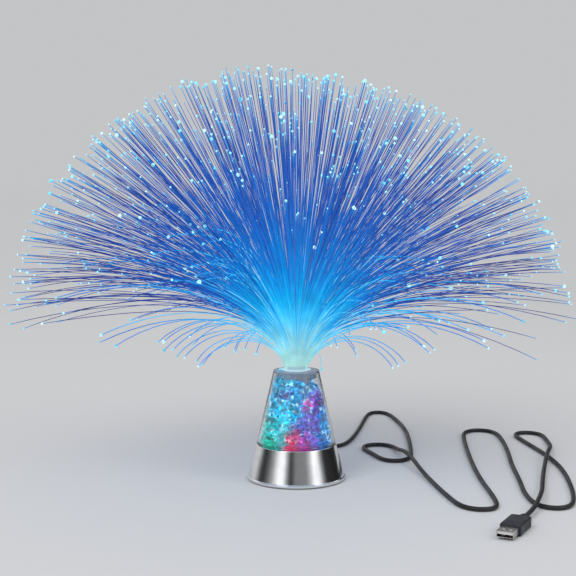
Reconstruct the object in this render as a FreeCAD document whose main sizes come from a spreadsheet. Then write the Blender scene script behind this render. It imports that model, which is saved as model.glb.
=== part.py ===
"""Fibre optic lamp: a chrome-plated cone base with its power parts, a clear cone full of coloured
crystals, a lift-out spray of light fibres, and a USB cord lying loose beside the lamp.

Millimetres, Z up. The origin is on the floor, on the lamp's axis, under the middle of the ring foot.
The cord leaves the rear of the base along +Y.
"""
import FreeCAD, Part
import math
import os

import Sketcher

V = FreeCAD.Vector
UP = V(0, 0, 1)
GOLDEN_ANGLE = math.pi * (3 - math.sqrt(5))

doc = FreeCAD.newDocument("FiberOpticLamp")

# ---------------------------------------------------------------- driving sizes

SIZES = {
    # ring foot and base
    "foot_diameter": 72.0,
    "foot_width": 3.4,
    "foot_height": 1.8,
    "base_rim_diameter": 80.0,
    "base_top_diameter": 64.6,
    "base_lift": 0.8,
    "base_height": 28.0,
    "base_wall": 1.8,
    "bead_height": 2.4,
    "bead_depth": 0.8,
    "cover_thickness": 2.0,
    "fit_gap": 0.25,
    # screw bosses that hold the cover and carry the light board
    "boss_diameter": 6.4,
    "screw_hole_diameter": 2.4,
    "boss_count": 3,
    # battery bay for three AAA cells side by side
    "bay_width": 33.0,
    "bay_length": 49.0,
    "bay_height": 11.2,
    "bay_wall": 1.4,
    "cell_count": 3,
    "contact_width": 8.0,
    "contact_height": 8.4,
    "contact_thickness": 0.5,
    "hinge_barrel_length": 2.0,
    "finger_notch_width": 12.0,
    "finger_notch_depth": 1.0,
    # slide switch
    "switch_length": 12.0,
    "switch_width": 6.0,
    "switch_height": 5.6,
    "switch_distance": 26.5,
    "knob_length": 3.4,
    "knob_width": 3.0,
    "knob_reach": 0.8,
    "knob_engagement": 2.0,
    "switch_travel": 4.0,
    # light board
    "board_thickness": 1.6,
    "led_size": 5.0,
    "led_height": 1.6,
    "led_count": 5,
    "led_circle_diameter": 34.0,
    # clear container
    "container_height": 59.0,
    "container_top_diameter": 37.2,
    "container_wall": 1.6,
    "spigot_length": 6.0,
    "diffuser_thickness": 1.2,
    # top cap with the socket for the spray
    "cap_flange": 0.8,
    "cap_plug_depth": 5.4,
    "socket_wall": 1.4,
    "socket_depth": 17.6,
    "socket_lip": 1.9,
    "socket_lip_height": 1.0,
    "spray_board_size": 14.0,
    "lead_tube_diameter": 6.0,
    "lead_tube_wall": 1.0,
    "lead_diameter": 1.2,
    "lead_spacing": 1.68,
    # crystals
    "crystal_size": 8.8,
    "crystal_gap": 0.8,
    "crystal_top_slope": 0.5,
    # spray
    "bundle_diameter": 17.0,
    "ferrule_wall": 0.8,
    "collar_diameter": 23.6,
    "collar_thickness": 1.2,
    "bundle_reach": 2.4,
    "strand_length": 246.0,
    "strand_thickness": 1.0,
    "strand_count": 108,
    "skirt_count": 14,
    "dome_half_angle": 76.0,
    "skirt_length": 128.0,
    # cord, strain relief and USB-A plug
    "cord_diameter": 3.5,
    "cord_exit_height": 8.5,
    "relief_neck_diameter": 6.8,
    "relief_flange_diameter": 9.2,
    "relief_flange_thickness": 1.5,
    "relief_tail_diameter": 5.2,
    "relief_tail_length": 9.0,
    "overmould_length": 27.0,
    "overmould_width": 15.4,
    "overmould_thickness": 8.4,
    "overmould_corner": 1.6,
    "boot_length": 9.0,
    "boot_width": 9.0,
    "boot_thickness": 6.2,
    "boot_wall": 1.0,
    "shell_length": 12.4,
    "shell_width": 12.0,
    "shell_thickness": 4.5,
    "shell_wall": 0.4,
    "shell_window": 2.4,
    "shell_window_spacing": 5.0,
    "shell_window_setback": 5.2,
    "tongue_thickness": 1.9,
    "tongue_setback": 0.6,
    "plug_contact_length": 9.3,
    "plug_contact_width": 1.2,
    "plug_contact_thickness": 0.3,
    "plug_contact_pitch": 2.3,
}

# sizes and places that follow from the driving ones
FITS = {
    "foot_radius": "Sizes.foot_diameter / 2",
    "rim_radius": "Sizes.base_rim_diameter / 2",
    "cone_foot_radius": "rim_radius - Sizes.bead_depth",
    "base_top_radius": "Sizes.base_top_diameter / 2",
    "bead_top_z": "Sizes.base_lift + Sizes.bead_height",
    "joint_z": "Sizes.base_lift + Sizes.base_height",
    "base_taper": "(cone_foot_radius - base_top_radius) / (joint_z - bead_top_z)",
    "cover_top_z": "Sizes.foot_height + Sizes.cover_thickness",
    "inside_foot_radius": "cone_foot_radius - Sizes.base_wall",
    "cover_radius": "inside_foot_radius - base_taper * Sizes.cover_thickness - Sizes.fit_gap",
    "spigot_radius": "base_top_radius - Sizes.base_wall - Sizes.fit_gap",
    "spigot_z": "joint_z - Sizes.spigot_length",
    "spigot_bore": "spigot_radius - Sizes.container_wall",
    "board_z": "spigot_z - Sizes.board_thickness",
    "boss_top_radius": "cone_foot_radius - base_taper * (board_z - bead_top_z)",
    "boss_place": "boss_top_radius - Sizes.base_wall / 2 - Sizes.boss_diameter / 2",
    "board_radius": "spigot_radius - Sizes.fit_gap",
    "bay_roof_z": "cover_top_z + Sizes.bay_height",
    "bay_outer_width": "Sizes.bay_width + 2 * Sizes.bay_wall",
    "bay_outer_length": "Sizes.bay_length + 2 * Sizes.bay_wall",
    "door_width": "Sizes.bay_width - 2 * Sizes.fit_gap",
    "door_length": "Sizes.bay_length - 2 * Sizes.fit_gap",
    "hinge_radius": "Sizes.cover_thickness / 2",
    "hinge_y": "door_length / 2 - hinge_radius",
    "hinge_z": "Sizes.foot_height + hinge_radius",
    "notch_width": "Sizes.bay_width + 2 * Sizes.hinge_barrel_length",
    "notch_start_y": "hinge_y - hinge_radius - Sizes.fit_gap",
    "slot_length": "Sizes.knob_length + Sizes.switch_travel + 2 * Sizes.fit_gap",
    "slot_width": "Sizes.knob_width + 2 * Sizes.fit_gap",
    "knob_z": "Sizes.foot_height - Sizes.knob_reach",
    "container_top_z": "joint_z + Sizes.container_height",
    "container_radius": "base_top_radius - 0.1",
    "container_top_radius": "Sizes.container_top_diameter / 2",
    "container_taper": "(container_radius - container_top_radius) / Sizes.container_height",
    "ledge_z": "joint_z + Sizes.container_wall",
    "ledge_radius": "container_radius - Sizes.container_wall * (1 + container_taper)",
    "container_mouth_radius": "container_top_radius - Sizes.container_wall",
    "diffuser_top_z": "ledge_z + Sizes.diffuser_thickness",
    "diffuser_radius": "ledge_radius - container_taper * Sizes.diffuser_thickness - Sizes.fit_gap",
    "cap_top_z": "container_top_z + Sizes.cap_flange",
    "cap_plug_z": "container_top_z - Sizes.cap_plug_depth",
    "cap_plug_radius": "container_mouth_radius - Sizes.fit_gap",
    "ferrule_radius": "Sizes.bundle_diameter / 2 + Sizes.ferrule_wall",
    "socket_bore": "ferrule_radius + Sizes.fit_gap",
    "socket_radius": "socket_bore + Sizes.socket_wall",
    "socket_z": "cap_top_z - Sizes.socket_depth",
    "socket_seat_z": "socket_z + Sizes.socket_lip_height",
    "spray_board_z": "socket_z - Sizes.board_thickness",
    "collar_radius": "Sizes.collar_diameter / 2",
    "collar_top_z": "cap_top_z + Sizes.collar_thickness",
    "bundle_top_z": "collar_top_z + Sizes.bundle_reach",
    "exit_radius": "cone_foot_radius - base_taper * (Sizes.cord_exit_height - bead_top_z)",
    "relief_reach_low": "Sizes.cord_exit_height - Sizes.relief_flange_diameter / 2",
    "relief_reach_high": "Sizes.cord_exit_height + Sizes.relief_flange_diameter / 2",
    "relief_outer_y": "cone_foot_radius - base_taper * (relief_reach_low - bead_top_z) + Sizes.fit_gap",
    "wall_inside_y": "cone_foot_radius - base_taper * (relief_reach_high - bead_top_z) - Sizes.base_wall",
    "relief_inner_y": "sqrt(wall_inside_y ^ 2 - (Sizes.relief_flange_diameter / 2) ^ 2) - Sizes.fit_gap",
    "relief_end_y": "relief_outer_y + Sizes.relief_flange_thickness + Sizes.relief_tail_length",
    "plug_axis_z": "Sizes.overmould_thickness / 2",
}


def make_sheet(name, cells):
    """A spreadsheet with one named value in each row."""
    sheet = doc.addObject("Spreadsheet::Sheet", name)
    for row, (alias, content) in enumerate(cells.items(), start=1):
        sheet.set("A%d" % row, alias)
        sheet.set("B%d" % row, str(content))
        sheet.setAlias("B%d" % row, alias)
    doc.recompute()
    return sheet


sizes = make_sheet("Sizes", SIZES)
fits = make_sheet("Fits", {alias: "=" + rule for alias, rule in FITS.items()})


def size(alias):
    """The value of a driving size."""
    return float(sizes.get(alias))


def fit(alias):
    """The value of a derived size or place."""
    return float(fits.get(alias))


def value_of(rule):
    """What an expression over the two sheets gives now."""
    return float(fits.evalExpression(str(rule)))


# ---------------------------------------------------------------- building helpers

NODES = []


def new_body(name):
    """A sub-part built from sketches and features."""
    body = doc.addObject("PartDesign::Body", name)
    body.Label = name
    NODES.append(body)
    return body


def new_feature(name, shape):
    """A sub-part whose shape is worked out by a formula."""
    feature = doc.addObject("Part::Feature", name)
    feature.Label = name
    feature.Shape = shape
    NODES.append(feature)
    return feature


def bind(item, place, rule):
    """Ties one property to an expression over the sheets."""
    item.setExpression(place, str(rule))


def new_sketch(body, plane, height=None):
    """A sketch on one of the body's own planes, lifted along its normal if a height is given."""
    sketch = body.newObject("Sketcher::SketchObject", body.Name + "_sketch")
    base = next(item for item in body.Origin.OriginFeatures if item.Role == plane)
    sketch.AttachmentSupport = [(base, "")]
    sketch.MapMode = "FlatFace"
    if height is not None:
        bind(sketch, ".AttachmentOffset.Base.z", height)
    return sketch


def pin(sketch, line, point, x_rule, y_rule):
    """Ties a point of the sketch to its two coordinates."""
    for kind, rule in (("DistanceX", x_rule), ("DistanceY", y_rule)):
        constraint = Sketcher.Constraint(kind, -1, 1, line, point, value_of(rule))
        index = sketch.addConstraint(constraint)
        sketch.setExpression("Constraints[%d]" % index, str(rule))


def outline(sketch, corners):
    """Adds a closed outline of straight sides with every corner tied to expressions."""
    points = [V(value_of(x), value_of(y), 0) for x, y in corners]
    start = sketch.GeometryCount
    for first, second in zip(points, points[1:] + points[:1]):
        sketch.addGeometry(Part.LineSegment(first, second), False)
    count = len(points)
    for side in range(count):
        following = start + (side + 1) % count
        sketch.addConstraint(Sketcher.Constraint("Coincident", start + side, 2, following, 1))
    for side, (x_rule, y_rule) in enumerate(corners):
        pin(sketch, start + side, 1, x_rule, y_rule)


def rectangle(sketch, x_rule, y_rule, width, length):
    """Adds a rectangle about a middle point."""
    left, right = "(%s) - (%s) / 2" % (x_rule, width), "(%s) + (%s) / 2" % (x_rule, width)
    low, high = "(%s) - (%s) / 2" % (y_rule, length), "(%s) + (%s) / 2" % (y_rule, length)
    outline(sketch, [(left, low), (right, low), (right, high), (left, high)])


def circle(sketch, x_rule, y_rule, radius):
    """Adds a circle with its middle and radius tied to expressions."""
    middle = V(value_of(x_rule), value_of(y_rule), 0)
    ring = sketch.addGeometry(Part.Circle(middle, UP, value_of(radius)), False)
    pin(sketch, ring, 3, x_rule, y_rule)
    index = sketch.addConstraint(Sketcher.Constraint("Radius", ring, value_of(radius)))
    sketch.setExpression("Constraints[%d]" % index, str(radius))


def turned(body, sketch):
    """Turns a sketch about its own upright axis."""
    turn = body.newObject("PartDesign::Revolution", body.Name + "_turned")
    turn.Profile = sketch
    turn.ReferenceAxis = (sketch, ["V_Axis"])
    turn.Angle = 360
    doc.recompute()


def lathed(name, corners):
    """A new body turned about the lamp's axis from an outline of radius and height."""
    body = new_body(name)
    sketch = new_sketch(body, "XZ_Plane")
    outline(sketch, corners)
    turned(body, sketch)
    return body


def padded(body, sketch, length):
    """Pads a sketch upwards."""
    pad = body.newObject("PartDesign::Pad", body.Name + "_pad")
    pad.Profile = sketch
    bind(pad, "Length", length)
    doc.recompute()
    return pad


def cut_up(body, sketch, depth):
    """Cuts a sketch's outline upwards into the body."""
    pocket = body.newObject("PartDesign::Pocket", body.Name + "_cut")
    pocket.Profile = sketch
    pocket.Reversed = True
    bind(pocket, "Length", depth)
    doc.recompute()
    return pocket


def patterned(body, feature, count):
    """Repeats a feature evenly about the lamp's axis."""
    pattern = body.newObject("PartDesign::PolarPattern", body.Name + "_pattern")
    pattern.Originals = [feature]
    pattern.Axis = (next(item for item in body.Origin.OriginFeatures if item.Role == "Z_Axis"), [""])
    pattern.Angle = 360
    bind(pattern, "Occurrences", count)
    body.Tip = pattern
    doc.recompute()
    return pattern


def solid_of(faces):
    """A closed solid from flat faces that meet edge to edge."""
    shell = Part.Shell(faces)
    shell.sewShape()
    solid = Part.Solid(shell)
    if solid.Volume < 0:
        solid.reverse()
    return solid


def flat_face(corners):
    """A flat face through its corners."""
    return Part.Face(Part.makePolygon(corners + corners[:1]))


def skin(ring, other):
    """The flat sides between two rings of corners."""
    pairs = zip(ring, ring[1:] + ring[:1], other[1:] + other[:1], other)
    return [flat_face(list(corners)) for corners in pairs]


# ---------------------------------------------------------------- base

def make_foot():
    """The soft ring that the lamp stands on, stuck to the underside of the cover."""
    inner = "Fits.foot_radius - Sizes.foot_width"
    lathed("foot_ring", [
        (inner, 0), ("Fits.foot_radius", 0),
        ("Fits.foot_radius", "Sizes.foot_height"), (inner, "Sizes.foot_height"),
    ])


def make_base_shell():
    """The plated cone with its rolled bead, three screw bosses and the hole for the strain relief."""
    wall = "Sizes.base_wall"
    body = lathed("base_shell", [
        ("Fits.cone_foot_radius - %s" % wall, "Sizes.base_lift"),
        ("Fits.rim_radius", "Sizes.base_lift"),
        ("Fits.rim_radius", "Sizes.base_lift + Sizes.bead_height * 2 / 3"),
        ("Fits.cone_foot_radius", "Fits.bead_top_z"),
        ("Fits.base_top_radius", "Fits.joint_z"),
        ("Fits.base_top_radius - %s" % wall, "Fits.joint_z"),
        ("Fits.cone_foot_radius - %s" % wall, "Fits.bead_top_z"),
    ])
    sketch = new_sketch(body, "XY_Plane", "Fits.cover_top_z")
    circle(sketch, "Fits.boss_place * cos(30)", "Fits.boss_place * sin(30)", "Sizes.boss_diameter / 2")
    boss = padded(body, sketch, "Fits.board_z - Fits.cover_top_z")
    patterned(body, boss, "Sizes.boss_count")
    sketch = new_sketch(body, "XY_Plane", "Fits.cover_top_z")
    circle(sketch, "Fits.boss_place * cos(30)", "Fits.boss_place * sin(30)", "Sizes.screw_hole_diameter / 2")
    hole = cut_up(body, sketch, "Fits.board_z - Fits.cover_top_z")
    patterned(body, hole, "Sizes.boss_count")
    sketch = new_sketch(body, "XZ_Plane")
    circle(sketch, 0, "Sizes.cord_exit_height", "Sizes.relief_neck_diameter / 2 + Sizes.fit_gap / 2")
    hole = body.newObject("PartDesign::Pocket", "cord_hole")
    hole.Profile = sketch
    bind(hole, "Length", "Fits.rim_radius")
    doc.recompute()


def make_base_cover():
    """The cover plate with the battery bay, the hinge notches, the switch slot and the screw holes."""
    body = new_body("base_cover")
    sketch = new_sketch(body, "XY_Plane", "Sizes.foot_height")
    circle(sketch, 0, 0, "Fits.cover_radius")
    padded(body, sketch, "Sizes.cover_thickness")
    sketch = new_sketch(body, "XY_Plane", "Fits.cover_top_z")
    rectangle(sketch, 0, 0, "Fits.bay_outer_width", "Fits.bay_outer_length")
    padded(body, sketch, "Sizes.bay_height + Sizes.bay_wall")
    sketch = new_sketch(body, "XY_Plane", "Sizes.foot_height")
    rectangle(sketch, 0, 0, "Sizes.bay_width", "Sizes.bay_length")
    cut_up(body, sketch, "Sizes.cover_thickness + Sizes.bay_height")
    sketch = new_sketch(body, "XY_Plane", "Sizes.foot_height")
    middle = "(Fits.notch_start_y + Sizes.bay_length / 2) / 2"
    rectangle(sketch, 0, middle, "Fits.notch_width", "Sizes.bay_length / 2 - Fits.notch_start_y")
    cut_up(body, sketch, "Sizes.cover_thickness")
    sketch = new_sketch(body, "XY_Plane", "Sizes.foot_height")
    rectangle(sketch, "Sizes.switch_distance", 0, "Fits.slot_width", "Fits.slot_length")
    cut_up(body, sketch, "Sizes.cover_thickness")
    sketch = new_sketch(body, "XY_Plane", "Sizes.foot_height")
    circle(sketch, "Fits.boss_place * cos(30)", "Fits.boss_place * sin(30)", "Sizes.screw_hole_diameter / 2")
    hole = cut_up(body, sketch, "Sizes.cover_thickness")
    patterned(body, hole, "Sizes.boss_count")


def make_battery_door():
    """The door in the cover, flush with it, turning on two barrel ends at its rear edge."""
    body = new_body("battery_door")
    half_width, half_length = "Fits.door_width / 2", "Fits.door_length / 2"
    sketch = new_sketch(body, "XY_Plane", "Sizes.foot_height")
    notch = "Sizes.finger_notch_width / 2"
    shoulder = "-%s + Sizes.finger_notch_depth" % half_length
    outline(sketch, [
        ("-%s" % half_width, "-%s" % half_length), ("-%s" % notch, "-%s" % half_length),
        ("-%s" % notch, shoulder), (notch, shoulder),
        (notch, "-%s" % half_length), (half_width, "-%s" % half_length),
        (half_width, "Fits.hinge_y"), ("-%s" % half_width, "Fits.hinge_y"),
    ])
    padded(body, sketch, "Sizes.cover_thickness")
    sketch = new_sketch(body, "YZ_Plane")
    circle(sketch, "Fits.hinge_y", "Fits.hinge_z", "Fits.hinge_radius")
    barrel = body.newObject("PartDesign::Pad", "door_barrel")
    barrel.Profile = sketch
    barrel.Midplane = True
    bind(barrel, "Length", "Fits.notch_width - 2 * Sizes.fit_gap")
    doc.recompute()


def make_battery_contacts():
    """A pair of contact plates for each cell, on the two end walls of the bay."""
    width, thick = size("contact_width"), size("contact_thickness")
    pitch = size("bay_width") / size("cell_count")
    tall = size("contact_height")
    low = fit("bay_roof_z") - tall
    plates = []
    for cell in range(int(size("cell_count"))):
        middle = (cell - (size("cell_count") - 1) / 2) * pitch
        for end in (-1, 1):
            wall = end * size("bay_length") / 2
            corner = V(middle - width / 2, min(wall, wall - end * thick), low)
            plates.append(Part.makeBox(width, thick, tall, corner))
    new_feature("battery_contacts", Part.makeCompound(plates))


def make_switch():
    """The slide switch on the cover's inner face, and its knob, which shows in the slot."""
    body = new_body("switch_body")
    sketch = new_sketch(body, "XY_Plane", "Fits.cover_top_z")
    rectangle(sketch, "Sizes.switch_distance", 0, "Sizes.switch_width", "Sizes.switch_length")
    padded(body, sketch, "Sizes.switch_height")
    sketch = new_sketch(body, "XY_Plane", "Fits.cover_top_z")
    rectangle(sketch, "Sizes.switch_distance", 0, "Fits.slot_width", "Fits.slot_length")
    cut_up(body, sketch, "Sizes.knob_engagement + Sizes.fit_gap")
    body = new_body("switch_knob")
    sketch = new_sketch(body, "XY_Plane", "Fits.knob_z")
    rectangle(sketch, "Sizes.switch_distance", "-Sizes.switch_travel / 2",
              "Sizes.knob_width", "Sizes.knob_length")
    padded(body, sketch, "Fits.cover_top_z - Fits.knob_z + Sizes.knob_engagement")


def make_light_board():
    """The round board clamped between the bosses and the container's spigot, and its lights."""
    body = new_body("light_board")
    sketch = new_sketch(body, "XY_Plane", "Fits.board_z")
    circle(sketch, 0, 0, "Fits.board_radius")
    padded(body, sketch, "Sizes.board_thickness")
    side, tall = size("led_size"), size("led_height")
    circle_radius = size("led_circle_diameter") / 2
    lamp = Part.makeBox(side, side, tall, V(circle_radius - side / 2, -side / 2, fit("spigot_z")))
    turn = 360 / size("led_count")
    lamps = [lamp.rotated(V(), UP, 90 + turn * step) for step in range(int(size("led_count")))]
    new_feature("crystal_lights", Part.makeCompound(lamps))


# ---------------------------------------------------------------- container

def make_container():
    """The clear cone, with a spigot that drops into the base and a ledge for the diffuser."""
    lathed("container", [
        ("Fits.spigot_bore", "Fits.spigot_z"),
        ("Fits.spigot_radius", "Fits.spigot_z"),
        ("Fits.spigot_radius", "Fits.joint_z"),
        ("Fits.container_radius", "Fits.joint_z"),
        ("Fits.container_top_radius", "Fits.container_top_z"),
        ("Fits.container_mouth_radius", "Fits.container_top_z"),
        ("Fits.ledge_radius", "Fits.ledge_z"),
        ("Fits.spigot_bore", "Fits.ledge_z"),
    ])


def make_diffuser():
    """The disc that the crystals lie on, with a hole where the lead tube passes."""
    bore = "Sizes.lead_tube_diameter / 2 - Sizes.lead_tube_wall"
    lathed("diffuser", [
        (bore, "Fits.ledge_z"), ("Fits.diffuser_radius", "Fits.ledge_z"),
        ("Fits.diffuser_radius", "Fits.diffuser_top_z"), (bore, "Fits.diffuser_top_z"),
    ])


def make_top_cap():
    """The cap that closes the container, moulded with the socket that holds the spray."""
    lip = "Fits.socket_bore - Sizes.socket_lip"
    lathed("top_cap", [
        ("Fits.socket_bore", "Fits.cap_top_z"),
        ("Fits.socket_bore", "Fits.socket_seat_z"),
        (lip, "Fits.socket_seat_z"),
        (lip, "Fits.socket_z"),
        ("Fits.socket_radius", "Fits.socket_z"),
        ("Fits.socket_radius", "Fits.cap_plug_z"),
        ("Fits.cap_plug_radius", "Fits.cap_plug_z"),
        ("Fits.cap_plug_radius", "Fits.container_top_z"),
        ("Fits.container_top_radius", "Fits.container_top_z"),
        ("Fits.container_top_radius", "Fits.cap_top_z"),
    ])


def make_spray_light():
    """The light under the spray, with its board, the tube down to the base and the two leads in it."""
    body = new_body("spray_board")
    sketch = new_sketch(body, "XY_Plane", "Fits.spray_board_z")
    rectangle(sketch, 0, 0, "Sizes.spray_board_size", "Sizes.spray_board_size")
    padded(body, sketch, "Sizes.board_thickness")
    body = new_body("spray_light")
    sketch = new_sketch(body, "XY_Plane", "Fits.socket_z")
    rectangle(sketch, 0, 0, "Sizes.led_size", "Sizes.led_size")
    padded(body, sketch, "Sizes.led_height - Sizes.socket_lip_height + Sizes.fit_gap")
    outer = "Sizes.lead_tube_diameter / 2"
    inner = "Sizes.lead_tube_diameter / 2 - Sizes.lead_tube_wall"
    lathed("lead_tube", [
        (inner, "Fits.diffuser_top_z"), (outer, "Fits.diffuser_top_z"),
        (outer, "Fits.spray_board_z"), (inner, "Fits.spray_board_z"),
    ])
    low = fit("spigot_z")
    tall = fit("spray_board_z") - low
    thick = size("lead_diameter")
    leads = []
    for side in (-1, 1):
        middle = side * size("lead_spacing") / 2
        leads.append(Part.makeBox(thick, thick, tall, V(middle - thick / 2, -thick / 2, low)))
    new_feature("spray_leads", Part.makeCompound(leads))


CRYSTAL_WAIST = math.cos(math.pi / 6)
CRYSTAL_LAYER = 0.9


def crystal(middle, bearing, number):
    """One chunky crystal: a six-sided double pyramid with its girdle nearly level, leaning a little."""
    half = size("crystal_size") / 2
    lean = 0.95 + 0.05 * math.sin(2.4 * number)
    girdle = [V(half * math.cos(turn), half * math.sin(turn), half * 0.1 * (-1) ** corner)
              for corner, turn in ((k, math.pi * k / 3) for k in range(6))]
    top, bottom = V(half * 0.15, 0, half * lean), V(-half * 0.12, 0, -half * lean)
    faces = []
    for first, second in zip(girdle, girdle[1:] + girdle[:1]):
        faces.append(flat_face([first, second, top]))
        faces.append(flat_face([second, first, bottom]))
    gem = solid_of(faces)
    yaw = math.degrees(bearing) + 3 * math.sin(3.1 * number)
    gem.Placement = FreeCAD.Placement(middle, FreeCAD.Rotation(yaw, 9 * math.sin(1.9 * number), 0))
    return gem


def make_crystals():
    """Rings of crystals that fill the container, coloured by where the lights under them shine."""
    piles = {"crystals_teal": [], "crystals_blue": [], "crystals_violet": [], "crystals_pink": []}
    pitch = size("crystal_size") * CRYSTAL_WAIST + size("crystal_gap")
    floor = fit("diffuser_top_z") + size("fit_gap")
    roof = fit("container_top_z") - size("cap_plug_depth") - size("crystal_size") / 2
    innermost = (size("lead_tube_diameter") + size("crystal_size")) / 2 + size("fit_gap")
    number, layer = 0, 0
    z = floor + size("crystal_size") / 2
    while z < roof:
        wall = fit("ledge_radius") - fit("container_taper") * (z + size("crystal_size") / 2 - fit("ledge_z"))
        ring = wall - size("crystal_size") / 2 - size("fit_gap")
        while ring > innermost:
            count = int(math.pi / math.asin(pitch / 2 / ring))
            radius = max(pitch / 2 / math.sin(math.pi / count), innermost)
            for step in range(count):
                bearing = 2 * math.pi * (step + 0.5 * (layer % 2)) / count
                place = V(radius * math.cos(bearing), radius * math.sin(bearing), z)
                top = roof - size("crystal_top_slope") * (place.x + radius)
                if z < top and clear_of_socket(place):
                    piles[crystal_colour(place)].append(crystal(place, bearing, number))
                number += 1
            ring -= size("crystal_size") + size("crystal_gap")
        z += size("crystal_size") * CRYSTAL_LAYER
        layer += 1
    for name, gems in piles.items():
        new_feature(name, Part.makeCompound(gems))


def clear_of_socket(place):
    """Whether a crystal here stays clear of the light and the socket that hang from the cap."""
    half = size("crystal_size") / 2 + size("fit_gap")
    beside = math.hypot(place.x, place.y) - half > fit("socket_radius")
    return beside or place.z + half < fit("spray_board_z")


def crystal_colour(place):
    """Which pile a crystal belongs to: teal to the left, violet to the right, pink low in the middle."""
    height = (place.z - fit("joint_z")) / size("container_height")
    across = place.x / fit("container_radius")
    if abs(across) < 0.35 and height < 0.22:
        return "crystals_pink"
    if across < -0.25 and height < 0.5:
        return "crystals_teal"
    if across > 0.2:
        return "crystals_violet"
    return "crystals_blue"


# ---------------------------------------------------------------- spray

# where a strand's straight runs meet, as a power of their even shares: short ones first
RUNS = 4
RUN_SPREAD = 1.7
# a strand leaves the upright over the first part of its length, and then sags a little
DOME_RISE = 0.12
DOME_SAG = 0.16
# the skirt's strands turn right over, in degrees, over a longer part of theirs
SKIRT_TURN = 150
SKIRT_SPREAD = 14
SKIRT_RISE = 0.38


def make_ferrule():
    """The sleeve that gathers the fibres, with the collar that rests on the cap."""
    bore = "Sizes.bundle_diameter / 2"
    lathed("ferrule", [
        (bore, "Fits.socket_seat_z"), ("Fits.ferrule_radius", "Fits.socket_seat_z"),
        ("Fits.ferrule_radius", "Fits.cap_top_z"), ("Fits.collar_radius", "Fits.cap_top_z"),
        ("Fits.collar_radius", "Fits.collar_top_z"), (bore, "Fits.collar_top_z"),
    ])
    body = new_body("fibre_bundle")
    sketch = new_sketch(body, "XY_Plane", "Fits.socket_seat_z")
    circle(sketch, 0, 0, bore)
    padded(body, sketch, "Fits.bundle_top_z - Fits.socket_seat_z")


def strand(bearing, start_radius, length, bend):
    """One bent fibre in an upright plane: a three-sided rod mitred where its straight runs meet.

    bend gives the angle from upright at a share of the length.
    """
    outward = V(math.cos(bearing), math.sin(bearing), 0)
    sideways = V(-math.sin(bearing), math.cos(bearing), 0)
    steps = 40
    joints = [(run / RUNS) ** RUN_SPREAD for run in range(RUNS + 1)]
    place = outward * start_radius + UP * fit("bundle_top_z")
    points = [place]
    for begin, end in zip(joints, joints[1:]):
        stride = length * (end - begin) / steps
        for step in range(steps):
            angle = bend(begin + (end - begin) * (step + 0.5) / steps)
            place = place + (outward * math.sin(angle) + UP * math.cos(angle)) * stride
        points.append(place)
    headings = [(b - a).normalize() for a, b in zip(points, points[1:])]
    headings = [UP] + headings
    half = size("strand_thickness") / 2
    section = [(-half, -half * 0.58), (half, -half * 0.58), (0, half * 1.15)]
    rings = []
    for index, point in enumerate(points):
        after = headings[min(index + 1, RUNS)]
        mean = (headings[index] + after).normalize() if index else UP
        normal = sideways.cross(mean) * (1 / max(mean.dot(after), 0.5))
        rings.append([point + sideways * across + normal * out for across, out in section])
    faces = [flat_face(rings[0]), flat_face(rings[-1])]
    for ring, other in zip(rings, rings[1:]):
        faces += skin(ring, other)
    return solid_of(faces)


def make_strands():
    """The dome of fibres in four rows, and the skirt of shorter ones that hang over."""
    rows = {"fibres_crown": [], "fibres_upper": [], "fibres_middle": [], "fibres_lower": []}
    names = list(rows)
    count = int(size("strand_count"))
    skirts = int(size("skirt_count"))
    edge = size("bundle_diameter") / 2 - size("strand_thickness") / 2
    reach = edge - 1.2 * size("strand_thickness")
    widest = math.radians(size("dome_half_angle"))
    for number in range(count):
        share = (number + 0.5) / count
        tilt = math.acos(1 - share * (1 - math.cos(widest)))
        bearing = number * GOLDEN_ANGLE
        length = size("strand_length") * (0.97 + 0.03 * math.sin(5.1 * number))
        radius = reach * math.sqrt(share)

        def bend(part, tilt=tilt):
            return tilt * (1 - math.exp(-part / DOME_RISE)) * (1 + DOME_SAG * part * math.sin(tilt))

        rows[names[min(int(4 * share), 3)]].append(strand(bearing, radius, length, bend))
    for name, strands in rows.items():
        new_feature(name, Part.makeCompound(strands))
    hanging = []
    for number in range(skirts):
        bearing = (count + number) * GOLDEN_ANGLE
        length = size("skirt_length") * (1 + 0.12 * math.sin(2.3 * number))

        turn = math.radians(SKIRT_TURN + SKIRT_SPREAD * math.sin(1.7 * number))

        def droop(part, turn=turn):
            return turn * (1 - math.exp(-part / SKIRT_RISE))

        hanging.append(strand(bearing, edge, length, droop))
    new_feature("fibres_skirt", Part.makeCompound(hanging))


# ---------------------------------------------------------------- cord and plug

# heights of the cord's middle: on the floor, and where it passes over itself
FLOOR_Z = 1.95
HUMP_Z = 6.8

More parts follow.
